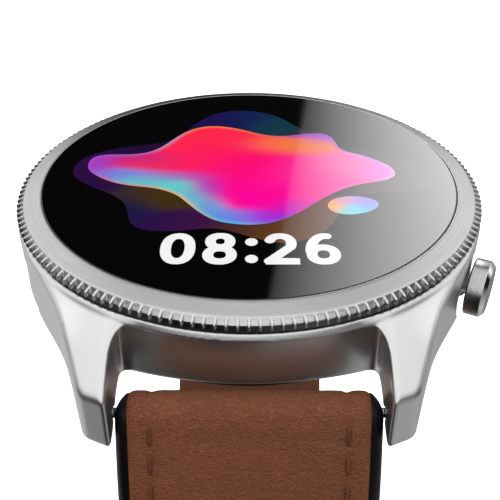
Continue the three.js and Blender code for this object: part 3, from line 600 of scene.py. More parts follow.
# ------------------------------------------------------------------ crown and tube
prof = rounded([(0, 25.15), (2.32, 25.15), (2.72, 24.78), (2.72, 23.42), (2.58, 23.3), (0.9, 23.3), (0.9, 24.4), (0, 24.4)], [0, 0.05, 0.05, 0.1, 0.05, 0.05, 0, 0], 4)
crown = lathe_obj("crown_knob", prof, 160, CROWN_M)
crown.data.materials.append(M_CROWN)
M_END = brushed_ring_mat("crown_end", (0.20, 0.20, 0.205), 0.30, axis_m=CROWN_M, scale=8000, aniso=0.0)
M_CHAMFER = metal_mat("crown_chamfer", (0.82, 0.82, 0.83), 0.07, grain=3000, bump=0.02)
crown.data.materials.append(M_END)
crown.data.materials.append(M_CHAMFER)
inv = np.linalg.inv(CROWN_M)
for poly in crown.data.polygons:
    cc = np.array(poly.center) / MM
    loc = inv[:3, :3] @ cc + inv[:3, 3]
    rr = math.hypot(loc[0], loc[1])
    if loc[2] > 25.0 and rr < 2.30:
        poly.material_index = 1
    elif loc[2] > 24.76:
        poly.material_index = 2
crown.data.set_sharp_from_angle(angle=math.radians(25))
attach(crown, "crown"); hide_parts("crown_cap")
# painted shadow: the neck is widened into a dark flange under the crown; its dark colour is partly the real black neck
# rings and partly painted shadow filling the crown pocket
prof = rounded([(0.86, 19.9), (1.36, 19.9), (1.36, 21.85), (2.3, 21.9), (2.3, 22.12), (1.8, 22.2), (1.8, 22.5), (0.86, 22.5)], [0, 0.05, 0.05, 0.1, 0.1, 0.05, 0.05, 0], 3)
tube = lathe_obj("crown_neck", prof, 96, CROWN_M, closed=True)
finish_piece(tube, M_NECK_DARK_AND_SHADE, "case", "crown_tube", sharp=30)


# ------------------------------------------------------------------ display: 2-D art cut into the glass top
def contours(fn, x0, x1, y0, y1, h):
    """Closed loops of fn = 0, as (n, 2) arrays, by marching squares."""
    xs = np.arange(x0, x1 + h, h); ys = np.arange(y0, y1 + h, h)
    X, Y = np.meshgrid(xs, ys, indexing="ij")
    F = fn(X, Y)
    S = F < 0
    segs = {}
    nx, ny = len(xs), len(ys)

    def edge_pt(key):
        k, i, j = key
        if k == 0:
            a, b = F[i, j], F[i + 1, j]; t = a / (a - b)
            return (xs[i] + t * h, ys[j])
        a, b = F[i, j], F[i, j + 1]; t = a / (a - b)
        return (xs[i], ys[j] + t * h)

    cells = np.argwhere((S[:-1, :-1] != S[1:, :-1]) | (S[:-1, :-1] != S[:-1, 1:]) | (S[:-1, :-1] != S[1:, 1:]))
    adj = {}
    for i, j in cells:
        e = [(0, i, j), (1, i + 1, j), (0, i, j + 1), (1, i, j)]
        s = [S[i, j], S[i + 1, j], S[i + 1, j + 1], S[i, j + 1]]
        cr = [k for k in range(4) if s[k] != s[(k + 1) % 4]]
        pairs = [cr] if len(cr) == 2 else ([[cr[0], cr[1]], [cr[2], cr[3]]] if s[0] else [[cr[0], cr[3]], [cr[1], cr[2]]])
        for a, b in pairs:
            ka, kb = tuple(map(int, e[a])), tuple(map(int, e[b]))
            adj.setdefault(ka, []).append(kb); adj.setdefault(kb, []).append(ka)
    loops, seen = [], set()
    for start in sorted(adj):
        if start in seen:
            continue
        loop, cur, prev = [], start, None
        while cur not in seen:
            seen.add(cur); loop.append(edge_pt(cur))
            nxt = [k for k in adj[cur] if k != prev and k not in seen]
            if not nxt:
                break
            prev, cur = cur, nxt[0]
        if len(loop) > 6:
            loops.append(np.array(loop))
    return loops


def capsule_union(strokes, pen):
    """Distance to a set of polylines with an elliptical pen: pen = (half width in x, half width in y)."""
    def fn(x, y):
        X, Y = x / pen[0], y / pen[1]
        d = np.full(np.shape(X), 1e9)
        for pts in strokes:
            p = np.asarray(pts, float) / np.array(pen)
            for a, b in zip(p[:-1], p[1:]):
                ab = b - a; L = max(float(ab @ ab), 1e-12)
                t = np.clip(((X - a[0]) * ab[0] + (Y - a[1]) * ab[1]) / L, 0, 1)
                d = np.minimum(d, (X - a[0] - t * ab[0]) ** 2 + (Y - a[1] - t * ab[1]) ** 2)
        return (np.sqrt(d) - 1) * min(pen)
    return fn


def arc(cx, cy, rx, ry, a0, a1, n=28, p=2.0):
    a = np.radians(np.linspace(a0, a1, n))
    c, s = np.cos(a), np.sin(a)
    k = 2.0 / p
    return np.stack([cx + rx * np.sign(c) * np.abs(c) ** k, cy + ry * np.sign(s) * np.abs(s) ** k], -1)


# digit cell: width 1, height 1, origin at the lower left; strokes are centre lines
def digit(ch):
    if ch == "0":
        return [arc(0.5, 0.5, 0.36, 0.40, 0, 360, 60, 2.3)]
    if ch == "8":
        return [arc(0.5, 0.725, 0.29, 0.185, 0, 360, 48, 2.2), arc(0.5, 0.295, 0.34, 0.205, 0, 360, 48, 2.2)]
    if ch == "2":
        top = arc(0.47, 0.66, 0.33, 0.24, 158, -28, 34, 2.2)
        return [np.vstack([top, [[0.13, 0.10], [0.86, 0.10]]])]
    if ch == "6":
        bowl = arc(0.52, 0.31, 0.33, 0.22, 0, 360, 48, 2.2)
        tail = np.vstack([arc(0.62, 0.40, 0.45, 0.50, 84, 180, 30, 2.0)])
        return [bowl, tail]
    return []


def place(strokes, x, y, w, h):
    return [np.asarray(s) * np.array([w, h]) + np.array([x, y]) for s in strokes]


# the text line sits 13 mm below the centre
D_W, D_H = 3.0, 4.9
D_Y = -15.7
cells = [("0", -7.7, 2.95), ("8", -4.05, 3.0), ("2", 1.35, 2.95), ("6", 4.85, 3.05)]
strokes = []
for ch, x, w in cells:
    strokes += place(digit(ch), x, D_Y, w, D_H)
dots = [(0.2, D_Y + 0.82), (0.2, D_Y + 3.45)]
pen_fn = capsule_union(strokes, (0.47, 0.46))


def text_fn(x, y):
    d = pen_fn(x, y)
    for cx, cy in dots:
        d = np.minimum(d, np.sqrt((x - cx) ** 2 + ((y - cy) / 1.1) ** 2) - 0.56)
    d = np.minimum(d, np.maximum(np.abs(x - 2.88) - 1.46, np.abs(y - (D_Y + 0.46)) - 0.46))
    # flat feet and heads on the 2's base come from clipping the line box
    return np.maximum(d, np.maximum(D_Y + 0.0 - y, y - (D_Y + D_H)))


def blob_field(parts):
    def fn(x, y):
        d = np.full(np.shape(x), 1e9)
        for cx, cy, rx, ry, rot, k in parts:
            a = math.radians(rot)
            u = (x - cx) * math.cos(a) + (y - cy) * math.sin(a); v = -(x - cx) * math.sin(a) + (y - cy) * math.cos(a)
            q = np.sqrt((u / rx) ** 2 + (v / ry) ** 2)
            e = (q - 1) * min(rx, ry)
            d = e if (d > 1e8).all() else smin(d, e, k)
        return d
    return fn


def spline_loop(pts, n=5):
    p = np.array(pts, float); out = []
    N = len(p)
    for i in range(N):
        a, b, c, d = p[i - 1], p[i], p[(i + 1) % N], p[(i + 2) % N]
        for k in range(n):
            t = k / n
            out.append(0.5 * (2 * b + (c - a) * t + (2 * a - 5 * b + 4 * c - d) * t * t + (3 * b - a - 3 * c + d) * t ** 3))
    out = np.array(out)
    for _ in range(6):
        out = 0.25 * np.roll(out, 1, 0) + 0.5 * out + 0.25 * np.roll(out, -1, 0)
    return out


def loop_field(loop):
    a = loop; b = np.roll(loop, -1, 0)

    def fn(x, y):
        x = np.asarray(x, float); y = np.asarray(y, float)
        sh = x.shape; X = x.ravel()[:, None]; Y = y.ravel()[:, None]
        out = np.empty(X.shape[0])
        for s0 in range(0, X.shape[0], 8000):
            xx, yy = X[s0:s0 + 8000], Y[s0:s0 + 8000]
            ex, ey = (b - a)[:, 0], (b - a)[:, 1]
            t = np.clip(((xx - a[:, 0]) * ex + (yy - a[:, 1]) * ey) / (ex * ex + ey * ey + 1e-12), 0, 1)
            d = np.sqrt(((xx - a[:, 0] - t * ex) ** 2 + (yy - a[:, 1] - t * ey) ** 2).min(1))
            cr = ((a[:, 1] > yy) != (b[:, 1] > yy)) & (xx < ex * (yy - a[:, 1]) / np.where(np.abs(ey) < 1e-12, 1e-12, ey) + a[:, 0])
            out[s0:s0 + 8000] = np.where(cr.sum(1) % 2 == 1, -d, d)
        return out.reshape(sh)
    return fn


FLUID = [(-16.7, 2.1), (-16.6, 3.6), (-15.7, 4.5), (-13.8, 4.6), (-11.8, 4.7), (-10.2, 5.5), (-9.0, 7.0), (-7.9, 9.0), (-6.4, 10.8), (-4.7, 11.6), (-2.9, 11.5), (-1.0, 10.8), (0.7, 9.8), (2.5, 9.1), (4.3, 9.1), (6.0, 9.6), (7.8, 9.8), (8.9, 9.1), (9.4, 7.7), (9.6, 6.3), (10.4, 5.3), (11.9, 4.5), (13.4, 3.3), (14.5, 2.0), (14.9, 0.6), (14.5, -0.4), (13.4, -1.1), (11.7, -1.6), (10.0, -2.3), (8.4, -3.4), (6.7, -5.0), (5.1, -6.8), (3.5, -8.2), (1.9, -9.1), (0.2, -9.4), (-1.6, -9.2), (-3.2, -8.6), (-4.5, -7.4), (-5.7, -5.8), (-6.8, -4.2), (-8.2, -3.1), (-9.8, -2.5), (-11.4, -2.2), (-12.8, -1.8), (-14.2, -1.1), (-15.4, -0.1), (-16.3, 0.9)]
GHOST = [(-18.0, 0.6), (-18.0, 2.5), (-17.1, 4.1), (-15.4, 5.5), (-13.1, 6.4), (-10.9, 6.9), (-8.9, 7.7), (-7.2, 10.0), (-5.9, 12.8), (-4.2, 14.8), (-2.2, 15.8), (0.3, 15.8), (2.6, 14.8), (4.3, 13.0), (5.7, 11.0), (7.0, 9.0), (9.2, 7.0), (11.3, 6.2), (13.7, 5.4), (15.8, 4.1), (17.5, 2.5), (18.4, 0.6), (18.4, -1.2), (17.4, -2.6), (15.8, -3.3), (13.6, -3.4), (11.3, -3.9), (9.2, -5.6), (8.2, -8.0), (7.2, -10.0), (5.9, -11.4), (4.2, -12.3), (2.4, -12.4), (0.5, -11.6), (-1.2, -10.7), (-2.6, -10.1), (-4.1, -10.0), (-5.6, -10.3), (-7.3, -10.5), (-9.0, -10.4), (-10.2, -9.9), (-11.0, -8.9), (-11.3, -7.5), (-11.7, -6.0), (-12.4, -4.8), (-13.7, -3.6), (-15.5, -2.4), (-17.1, -1.0)]
fluid_loop, ghost_loop = spline_loop(FLUID), spline_loop(GHOST)
ta = np.linspace(0, 2 * math.pi, 72, endpoint=False)
drop_loop = np.stack([9.9 + 2.45 * np.cos(ta) * np.cos(0.16) - 1.65 * np.sin(ta) * np.sin(0.16), -5.85 + 2.45 * np.cos(ta) * np.sin(0.16) + 1.65 * np.sin(ta) * np.cos(0.16) * (1 - 0.12 * np.cos(ta))], -1)
blob1, blob2, drop = loop_field(fluid_loop), loop_field(ghost_loop), loop_field(drop_loop)


def ramp(t, stops):
    t = np.asarray(t); out = np.zeros(t.shape + (3,))
    xs = [s[0] for s in stops]
    for c in range(3):
        out[..., c] = np.interp(t, xs, [s[1][c] for s in stops])
    return out


ORANGE, RED, PINK, MAGENTA = (1.0, 0.42, 0.10), (1.0, 0.10, 0.12), (1.0, 0.05, 0.35), (0.95, 0.06, 0.55)
PURPLE, BLUE, CYAN, YELLOW = (0.42, 0.12, 0.85), (0.12, 0.28, 0.95), (0.15, 0.75, 0.85), (0.95, 0.80, 0.25)


def palette(x, y, spots):
    """Soft mix of coloured spots: (x, y, reach, colour)."""
    x = np.asarray(x, float); y = np.asarray(y, float)
    num = np.zeros(x.shape + (3,)); den = np.zeros(x.shape)
    for cx, cy, rx, ry, c in spots:
        w = np.exp(-(((x - cx) / rx) ** 2 + ((y - cy) / ry) ** 2)) + 1e-6
        num += w[..., None] * np.array(c); den += w
    return num / den[..., None]


def blob1_col(x, y):
    c = palette(x, y, [
        (-3.6, 8.0, 4.2, 3.4, (1.0, 0.02, 0.07)), (-6.0, 3.5, 4.0, 2.8, (1.0, 0.015, 0.10)), (-1.5, 3.5, 4.2, 3.6, (1.0, 0.0, 0.13)), (0.6, 0.0, 4.2, 3.4, (1.0, 0.0, 0.26)), (1.5, -4.0, 3.6, 2.6, (1.0, 0.0, 0.33)),
        (6.0, 0.4, 4.0, 2.8, (1.0, 0.03, 0.35)), (9.8, 2.2, 3.0, 2.0, (0.95, 0.13, 0.40)), (13.4, 1.4, 2.2, 1.8, (0.55, 0.10, 0.60)), (3.6, 6.9, 3.4, 1.5, (0.95, 0.19, 0.05)), (6.9, 6.9, 2.2, 1.5, (0.80, 0.22, 0.08)),
        (8.0, 9.0, 1.6, 1.4, (0.30, 0.05, 0.62)), (5.6, 9.6, 2.0, 0.8, (0.32, 0.06, 0.45)), (-11.5, 3.6, 3.2, 1.2, (0.55, 0.02, 0.22)), (-10.4, 2.4, 3.6, 1.1, (0.85, 0.02, 0.11)), (-15.6, 2.6, 1.6, 2.2, (0.33, 0.05, 0.55)),
        (-13.0, 0.5, 2.6, 1.0, (0.16, 0.24, 0.75)), (-9.6, -0.9, 2.6, 1.0, (0.10, 0.55, 0.62)), (-6.9, -2.4, 1.7, 1.2, (0.06, 0.66, 0.62)), (-5.2, -4.6, 1.3, 1.5, (0.06, 0.58, 0.66)), (-3.9, -6.4, 1.3, 1.3, (0.10, 0.36, 0.75)),
        (-7.6, -0.2, 3.0, 0.9, (0.30, 0.10, 0.55)), (-4.2, -2.6, 1.5, 2.2, (0.38, 0.03, 0.50)), (-1.9, -8.0, 2.2, 1.0, (0.08, 0.28, 0.80)), (1.4, -7.9, 2.4, 1.0, (0.34, 0.02, 0.72)), (4.2, -6.2, 1.7, 1.2, (0.60, 0.01, 0.50))])
    rim = np.clip(1 + blob1(x, y) / 0.55, 0, 1)[..., None] ** 1.2
    edge = palette(x, y, [
        (-3.8, 11.6, 4.2, 1.8, (1.0, 0.33, 0.03)), (0.6, 9.9, 3.0, 1.6, (1.0, 0.20, 0.04)), (-8.5, 7.2, 2.4, 2.2, (0.12, 0.45, 0.62)), (-12.5, 4.7, 3.6, 1.2, (0.22, 0.16, 0.66)), (-16.6, 2.4, 1.6, 2.6, (0.45, 0.07, 0.66)),
        (-13.2, -1.4, 3.2, 1.3, (0.75, 0.16, 0.08)), (-8.8, -2.8, 2.8, 1.2, (0.90, 0.28, 0.04)), (-6.0, -5.0, 1.9, 2.0, (0.95, 0.50, 0.05)), (-4.2, -7.8, 1.8, 1.4, (0.35, 0.60, 0.20)), (-1.2, -9.3, 2.6, 1.0, (0.04, 0.58, 0.75)),
        (2.6, -8.7, 2.0, 1.2, (0.20, 0.06, 0.70)), (6.2, -5.2, 2.6, 2.2, (0.70, 0.02, 0.40)), (10.6, -2.0, 3.2, 1.2, (0.70, 0.10, 0.40)), (14.8, 0.4, 1.8, 2.2, (0.60, 0.35, 0.42)), (12.6, 4.0, 2.6, 1.6, (0.16, 0.24, 0.70)),
        (9.4, 7.2, 1.4, 2.4, (0.34, 0.07, 0.62)), (7.0, 9.8, 2.4, 1.0, (0.34, 0.07, 0.62)), (3.4, 9.0, 2.2, 0.9, (0.50, 0.10, 0.20))])
    return c * (1 - 0.8 * rim) + edge * 0.8 * rim


def blob2_col(x, y):
    return palette(x, y, [
        (-16.0, 1.0, 3.0, 4.0, (0.022, 0.003, 0.050)), (-10.0, 6.2, 4.0, 2.0, (0.016, 0.002, 0.035)), (-4.6, 13.0, 3.2, 2.6, (0.010, 0.004, 0.075)), (0.2, 14.6, 3.0, 2.2, (0.006, 0.012, 0.085)), (3.4, 12.6, 2.4, 2.4, (0.004, 0.040, 0.060)),
        (6.6, 9.4, 1.8, 2.0, (0.016, 0.030, 0.040)), (-9.6, -4.2, 2.6, 1.6, (0.052, 0.026, 0.004)), (-11.4, -6.8, 1.6, 2.4, (0.010, 0.008, 0.055)), (-9.2, -9.4, 2.6, 1.4, (0.020, 0.004, 0.060)), (-5.4, -9.6, 3.0, 1.4, (0.042, 0.004, 0.060)),
        (-1.2, -10.2, 2.4, 1.2, (0.070, 0.020, 0.012)), (2.6, -11.0, 3.0, 1.6, (0.120, 0.045, 0.012)), (6.4, -8.6, 2.2, 2.6, (0.120, 0.042, 0.020)), (13.0, -2.6, 3.0, 1.6, (0.030, 0.020, 0.035)), (16.5, 1.0, 3.0, 3.0, (0.025, 0.008, 0.015)), (12.0, 5.4, 3.0, 1.6, (0.020, 0.012, 0.030))])


def drop_col(x, y):
    return palette(x, y, [(8.0, -6.2, 0.9, 1.0, (1.0, 0.36, 0.04)), (9.4, -4.9, 1.2, 0.8, (0.55, 0.30, 0.50)), (11.4, -5.2, 1.1, 1.0, (0.26, 0.20, 0.80)), (9.6, -6.8, 1.5, 0.8, (0.12, 0.60, 0.72)), (11.6, -6.4, 1.0, 0.8, (0.12, 0.36, 0.80))])


def build_glass():
    RT, RO = 20.50, 20.585
    loops = []
    n = 256
    a = np.arange(n) * 2 * math.pi / n
    rim_loop = np.stack([RT * np.cos(a), RT * np.sin(a)], -1)
    loops.append(rim_loop)
    inner_rings = [rim_loop * (rr / RT) for rr in (20.45, 20.3, 19.95)]
    loops += inner_rings
    loops += contours(text_fn, -9, 11, D_Y - 1, D_Y + D_H + 1, 0.06)
    loops += [fluid_loop, ghost_loop, drop_loop]
    pts, edges = [], []
    for L in loops:
        b = len(pts)
        pts += [tuple(p) for p in L]
        edges += [(b + i, b + (i + 1) % len(L)) for i in range(len(L))]
    g = 0.42
    gx = np.arange(-20, 20, g)
    grid_xy = []
    for i, x in enumerate(gx):
        for j, y in enumerate(gx):
            x2 = x + (0.5 * g if j % 2 else 0)
            if x2 * x2 + y * y > 19.75 ** 2:
                continue
            grid_xy.append((x2, y, i % 4 == 0 and j % 4 == 0))
    G = np.array(grid_xy)
    use = (blob2(G[:, 0], G[:, 1]) < 0.2) | (blob1(G[:, 0], G[:, 1]) < 0.2) | (drop(G[:, 0], G[:, 1]) < 0.1) | (G[:, 2] > 0.5)
    pts += [(float(a_), float(b_)) for a_, b_ in G[use][:, :2]]
    res = delaunay_2d_cdt([Vector(p) for p in pts], edges, [], 0, 1e-5)
    v2 = np.array([(v.x, v.y) for v in res[0]])
    tris = [list(f) for f in res[2] if len(f) == 3]
    tri = np.array(tris, int)
    cen = v2[tri].mean(1)
    keep = (cen ** 2).sum(1) < RT ** 2
    tri = tri[keep]; cen = cen[keep]
    ar = (v2[tri[:, 1], 0] - v2[tri[:, 0], 0]) * (v2[tri[:, 2], 1] - v2[tri[:, 0], 1]) - (v2[tri[:, 1], 1] - v2[tri[:, 0], 1]) * (v2[tri[:, 2], 0] - v2[tri[:, 0], 0])
    tri[ar < 0] = tri[ar < 0][:, ::-1]
    nz = np.abs(ar) > 1e-9
    tri = tri[nz]; cen = cen[nz]
    # the rim loop's vertices, in order, join the chamfer and the side
    key = {(round(p[0], 4), round(p[1], 4)): i for i, p in enumerate(v2)}
    rim_idx = [key[(round(float(p[0]), 4), round(float(p[1]), 4))] for p in rim_loop]
    co = [(x, y, GLASS_Z) for x, y in v2]
    base = len(co)
    rings = [(20.535, GLASS_Z - 0.008), (20.565, GLASS_Z - 0.03), (RO, GLASS_Z - 0.08), (RO, 10.3), (20.5, 10.2)]
    for r, z in rings:
        co += [(r * math.cos(t), r * math.sin(t), z) for t in a]
    quads = []
    prev = rim_idx
    for k in range(len(rings)):
        cur = [base + k * n + i for i in range(n)]
        for i in range(n):
            quads.append([prev[i], cur[i], cur[(i + 1) % n], prev[(i + 1) % n]])
        prev = cur
    co.append((0, 0, 10.2)); c = len(co) - 1
    bot = [[c, prev[(i + 1) % n], prev[i]] for i in range(n)]
    top_n = len(tri)
    alltri = np.vstack([tri, np.array(bot)])
    o = make_obj("display_glass", co, quads=np.array(quads), tris=alltri)
    me = o.data
    nq = len(quads)
    # face-corner colours of the lit picture, exact at the art's outlines
    x, y = cen[:, 0], cen[:, 1]
    t_in = text_fn(x, y) < 0
    b1 = blob1(x, y) < 0; b2 = blob2(x, y) < 0; dr = drop(x, y) < 0
    vx, vy = v2[tri][:, :, 0], v2[tri][:, :, 1]
    col = np.zeros((top_n, 3, 3))
    col = np.where(b2[:, None, None], blob2_col(vx, vy), col)
    col = np.where(b1[:, None, None], blob1_col(vx, vy), col)
    col = np.where(dr[:, None, None], drop_col(vx, vy), col)
    col = np.where(t_in[:, None, None], np.array([0.92, 0.92, 0.92]), col)
    loops_col = np.zeros((len(me.loops), 4), np.float32); loops_col[:, 3] = 1
    loops_col[nq * 4: nq * 4 + top_n * 3, :3] = col.reshape(-1, 3)
    att = me.color_attributes.new("picture", "FLOAT_COLOR", "CORNER")
    att.data.foreach_set("color", loops_col.ravel())
    return o


glass = build_glass()
m, nt, b = new_mat("display")
co_ = objcoord(nt)
b.inputs["Base Color"].default_value = (0.0006, 0.0006, 0.0008, 1)
att = nt.nodes.new("ShaderNodeVertexColor"); att.layer_name = "picture"
grain = noise(nt, co_, 5200, 1.0)
pic = mixcol(nt, maprange(nt, grain, 0.3, 0.7, 0.0, 0.05), att.outputs["Color"], (0, 0, 0))
link(nt, pic, b.inputs["Emission Color"])
b.inputs["Emission Strength"].default_value = 1.0
smear = noise(nt, co_, 90, 3.0)
link(nt, maprange(nt, smear, 0.3, 0.7, 0.025, 0.045), b.inputs["Roughness"])
b.inputs["IOR"].default_value = 1.75
M_DISPLAY = m
finish_piece(glass, M_DISPLAY, "case", "cover_glass", sharp=20)


# ------------------------------------------------------------------ strap
def centre_line(side, runs, step=0.25):
    y, z, ph, s = BAR_Y, BAR_Z, math.radians(PHI0), 0.0
    out = [(s, side * y, z, ph)]
    for L, k in runs:
        n = int(round(L / step)); d = L / n
        for _ in range(n):
            for _ in range(4):
                dd = d / 4
                pm = ph - k * dd / 2
                y += math.sin(pm) * dd; z -= math.cos(pm) * dd; ph -= k * dd
            s += d
            out.append((s, side * y, z, ph))
    return np.array(out)


class Strap:
    def __init__(self, side, runs, tail):
        self.side, self.tail = side, tail
        self.cl = centre_line(side, runs)
        self.L = self.cl[-1, 0]

    def at(self, s):
        """Centre point, tangent and outward normal (y, z) at arc length s; straight before 0 and past the end."""
        s = np.asarray(s, float)
        c = self.cl
        sc = np.clip(s, 0, self.L)
        y, z, ph = (np.interp(sc, c[:, 0], c[:, k]) for k in (1, 2, 3))
        T = np.stack([self.side * np.sin(ph), -np.cos(ph)], -1)
        N = np.stack([self.side * np.cos(ph), np.sin(ph)], -1)
        p = np.stack([y, z], -1) + T * (s - sc)[..., None]
        return p, T, N

    def thick(self, s):
        s = np.asarray(s, float)
        t = np.where(s < 8, 3.4 - 0.5 * s / 8, np.where(s < 26, 2.9 - 0.4 * (s - 8) / 18, 2.5))
        return np.where(s < 1.6, np.interp(s, [-5, 0, 1.6], [3.6, 3.6, 3.3]), t)

    def half_w(self, s):
        s = np.asarray(s, float)
        k = 1 - (1 - 9.9 / 10.7) * np.clip((s - 12) / (self.L - 24), 0, 1)
        w = 11.08 * k
        if self.tail:
            q = np.clip((s - (self.L - 9)) / 9.0, 0, 1)
            w = w * np.sqrt(np.clip(1 - q ** 2, 0.0, 1))
        return w


near = Strap(-1, NEAR_RUNS, True)
far = Strap(1, FAR_RUNS, False)


def value_noise(x, y, seed):
    r = np.random.default_rng(seed)
    g = r.random((64, 256))
    xi, yi = np.floor(x).astype(int), np.floor(y).astype(int)
    fx, fy = x - xi, y - yi
    fx, fy = fx * fx * (3 - 2 * fx), fy * fy * (3 - 2 * fy)
    G = lambda a, b: g[a % 64, b % 256]
    return (G(xi, yi) * (1 - fx) + G(xi + 1, yi) * fx) * (1 - fy) + (G(xi, yi + 1) * (1 - fx) + G(xi + 1, yi + 1) * fx) * fy


def wrinkle(x, s, seed):
    """Shallow creases, mm, as a function of the place on the flat strap: longer across than along."""
    wx = x + 1.2 * (value_noise(x * 0.5 + 9, s * 0.5 + 5, seed) - 0.5) * 2
    ws = s + 1.2 * (value_noise(x * 0.45 + 31, s * 0.45 + 11, seed + 1) - 0.5) * 2
    a = 1 - np.abs(2 * value_noise(wx * 0.55 + 40, ws * 1.25 + 40, seed + 2) - 1)
    b_ = 1 - np.abs(2 * value_noise(wx * 1.2 + 70, ws * 2.4 + 70, seed + 3) - 1)
    c = value_noise(wx * 0.18 + 3, ws * 0.14 + 3, seed + 4)
    return -0.055 * a ** 3 * (0.4 + c) - 0.03 * b_ ** 3 + 0.10 * (c - 0.5)


def strap_core(st, name, s_end):
    """Black body of the strap: rounded section swept along the strap, round at the bar end."""
    R = 1.66
    s = np.concatenate([-R * np.cos(np.linspace(0.02, math.pi / 2, 14)), np.arange(0.5, st.L - (9.2 if st.tail else 1.5), 0.8)])
    if st.tail:
        q = np.sin(np.linspace(0, math.pi / 2, 22))
        s = np.concatenate([s, st.L - 9 + 9 * q[:-1], [st.L - 0.012]])
    else:
        s = np.concatenate([s, [s_end]])
    M = 40
    p, T, N = st.at(s)
    t = st.thick(s) / 2 - 0.14
    t = np.where(s < 0, np.sqrt(np.clip(R * R - s * s, 1e-4, None)), t)
    t = np.where((s >= 0) & (s < 2.0), R + (t - R) * (s / 2.0) ** 2 * (3 - 2 * s / 2.0), t)
    w = st.half_w(s)
    if st.tail:
        t = t * np.clip(0.35 + 0.65 * np.sqrt(np.clip((st.L - s) / 1.3, 0, 1)), 0, 1)
    # corner chamfer towards the bar end
    w = w - 0.9 * np.clip(-s / R, 0, 1) ** 2
    a = np.arange(M) / M * 2 * math.pi
    e = 0.36
    rc = np.minimum(1.0, t * 0.92)
    # superellipse-like section: flat faces, round edges of radius rc
    ring = []
    for k in range(len(s)):
        hw, ht, r = max(w[k], 0.02), t[k], min(rc[k], max(w[k], 0.02))
        pts = []
        per = M // 4
        for qd, (cx, cy) in enumerate([(hw - r, ht - r), (-(hw - r), ht - r), (-(hw - r), -(ht - r)), (hw - r, -(ht - r))]):
            for j in range(per):
                ang = (qd + j / (per - 1)) * math.pi / 2
                pts.append((cx + r * math.cos(ang), cy + r * math.sin(ang)))
        ring.append(pts)
    ring = np.array(ring)
    X = ring[:, :, 0]
    Y = p[:, None, 0] + N[:, None, 0] * ring[:, :, 1]
    Z = p[:, None, 1] + N[:, None, 1] * ring[:, :, 1]
    co = np.stack([X, Y, Z], -1)
    n, mm = co.shape[:2]
    q = grid_quads(n, mm, close_m=True)
    caps = [list(range(mm)), list(range((n - 1) * mm, n * mm))[::-1]]
    o = make_obj(name, co.reshape(-1, 3), quads=q, polys=caps)
    fix_normals(o)
    return o


def sheet_on(st, name, s0, s1, half_fn, outward, thick_mm, crown, groove_at, seed, wrap_deg=None, wr=1.0, lift=0.0):
    """A leather layer with rolled edges on one face of the strap. Optional wrap round the bar end."""
    ds = 0.30
    s = np.arange(s0, s1 + 1e-6, ds)
    if st.tail and s1 > st.L - 12:
        s = np.unique(np.concatenate([s[s < s1 - 3], s1 - 3 * (1 - np.sin(np.linspace(0, math.pi / 2, 26)))]))
    p, T, N = st.at(s)
    h = st.thick(s) / 2
    h = np.where(s < 2.0, 1.8 + (h - 1.8) * (np.clip(s, 0, 2) / 2.0) ** 2 * (3 - 2 * np.clip(s, 0, 2) / 2.0), h)
    P0 = p + N * (outward * h)[:, None]
    NN = N * outward
    S = s.copy()
    if wrap_deg:
        a = np.radians(np.arange(wrap_deg, 0.5, -7.0))
        p0, T0, N0 = st.at(np.array([0.0]))
        rad = N0[0][None] * np.cos(a)[:, None] - T0[0][None] * np.sin(a)[:, None]
        rad = rad * 1.0
        P0 = np.vstack([p0[0] + rad * 1.8, P0]); NN = np.vstack([rad, NN]); S = np.concatenate([-a * 1.8, s])
    nu = 97
    u = np.sin(np.linspace(-math.pi / 2, math.pi / 2, nu) * 0.999)
    u = np.sign(u) * (1 - (1 - np.abs(u)) ** 0.85)
    W = half_fn(np.clip(S, 0, None))
    X = u[None, :] * W[:, None]
    e = (W[:, None] - np.abs(X))                       # distance to the long edge
    # rolled edge over 0.55 mm, crown across, channel with the stitching
    roll = -thick_mm * (1 - np.sqrt(np.clip(1 - (1 - np.clip(e / 0.55, 0, 1)) ** 2, 0, 1)))
    disp = crown * (1 - (X / W[:, None]) ** 4) + roll + lift
    if groove_at:
        g = np.abs(e - groove_at)
        disp = disp - 0.12 * np.exp(-(g / 0.34) ** 2) + 0.05 * np.exp(-((e - groove_at * 0.45) / 0.55) ** 2)
    # ends roll down too
    ee = np.minimum(S - S[0], S[-1] - S)[:, None]
    disp = disp - thick_mm * (1 - np.sqrt(np.clip(1 - (1 - np.clip(ee / 0.5, 0, 1)) ** 2, 0, 1)))
    if wr:
        disp = disp + wr * wrinkle(X, np.tile(S[:, None], (1, nu)), seed) * np.clip(e / 1.2, 0, 1) * np.clip(ee / 1.0, 0, 1)
    top = np.stack([X, P0[:, None, 0] + NN[:, None, 0] * disp, P0[:, None, 1] + NN[:, None, 1] * disp], -1)
    low = np.stack([X * 0.995, P0[:, None, 0] + NN[:, None, 0] * (-thick_mm - 0.06) + 0 * X, P0[:, None, 1] + NN[:, None, 1] * (-thick_mm - 0.06) + 0 * X], -1)
    n = len(S)
    co = np.concatenate([top.reshape(-1, 3), low.reshape(-1, 3)])
    base = n * nu
    q = [grid_quads(n, nu), grid_quads(n, nu, flip=True, base=base)]
    i = np.arange(n - 1); j = np.arange(nu - 1)
    q.append(np.stack([i * nu, base + i * nu, base + (i + 1) * nu, (i + 1) * nu], -1))
    q.append(np.stack([i * nu + nu - 1, (i + 1) * nu + nu - 1, base + (i + 1) * nu + nu - 1, base + i * nu + nu - 1], -1))
    q.append(np.stack([j, j + 1, base + j + 1, base + j], -1))
    k = (n - 1) * nu
    q.append(np.stack([k + j, base + k + j, base + k + j + 1, k + j + 1], -1))
    o = make_obj(name, co, quads=np.concatenate(q))
    fix_normals(o)
    return o


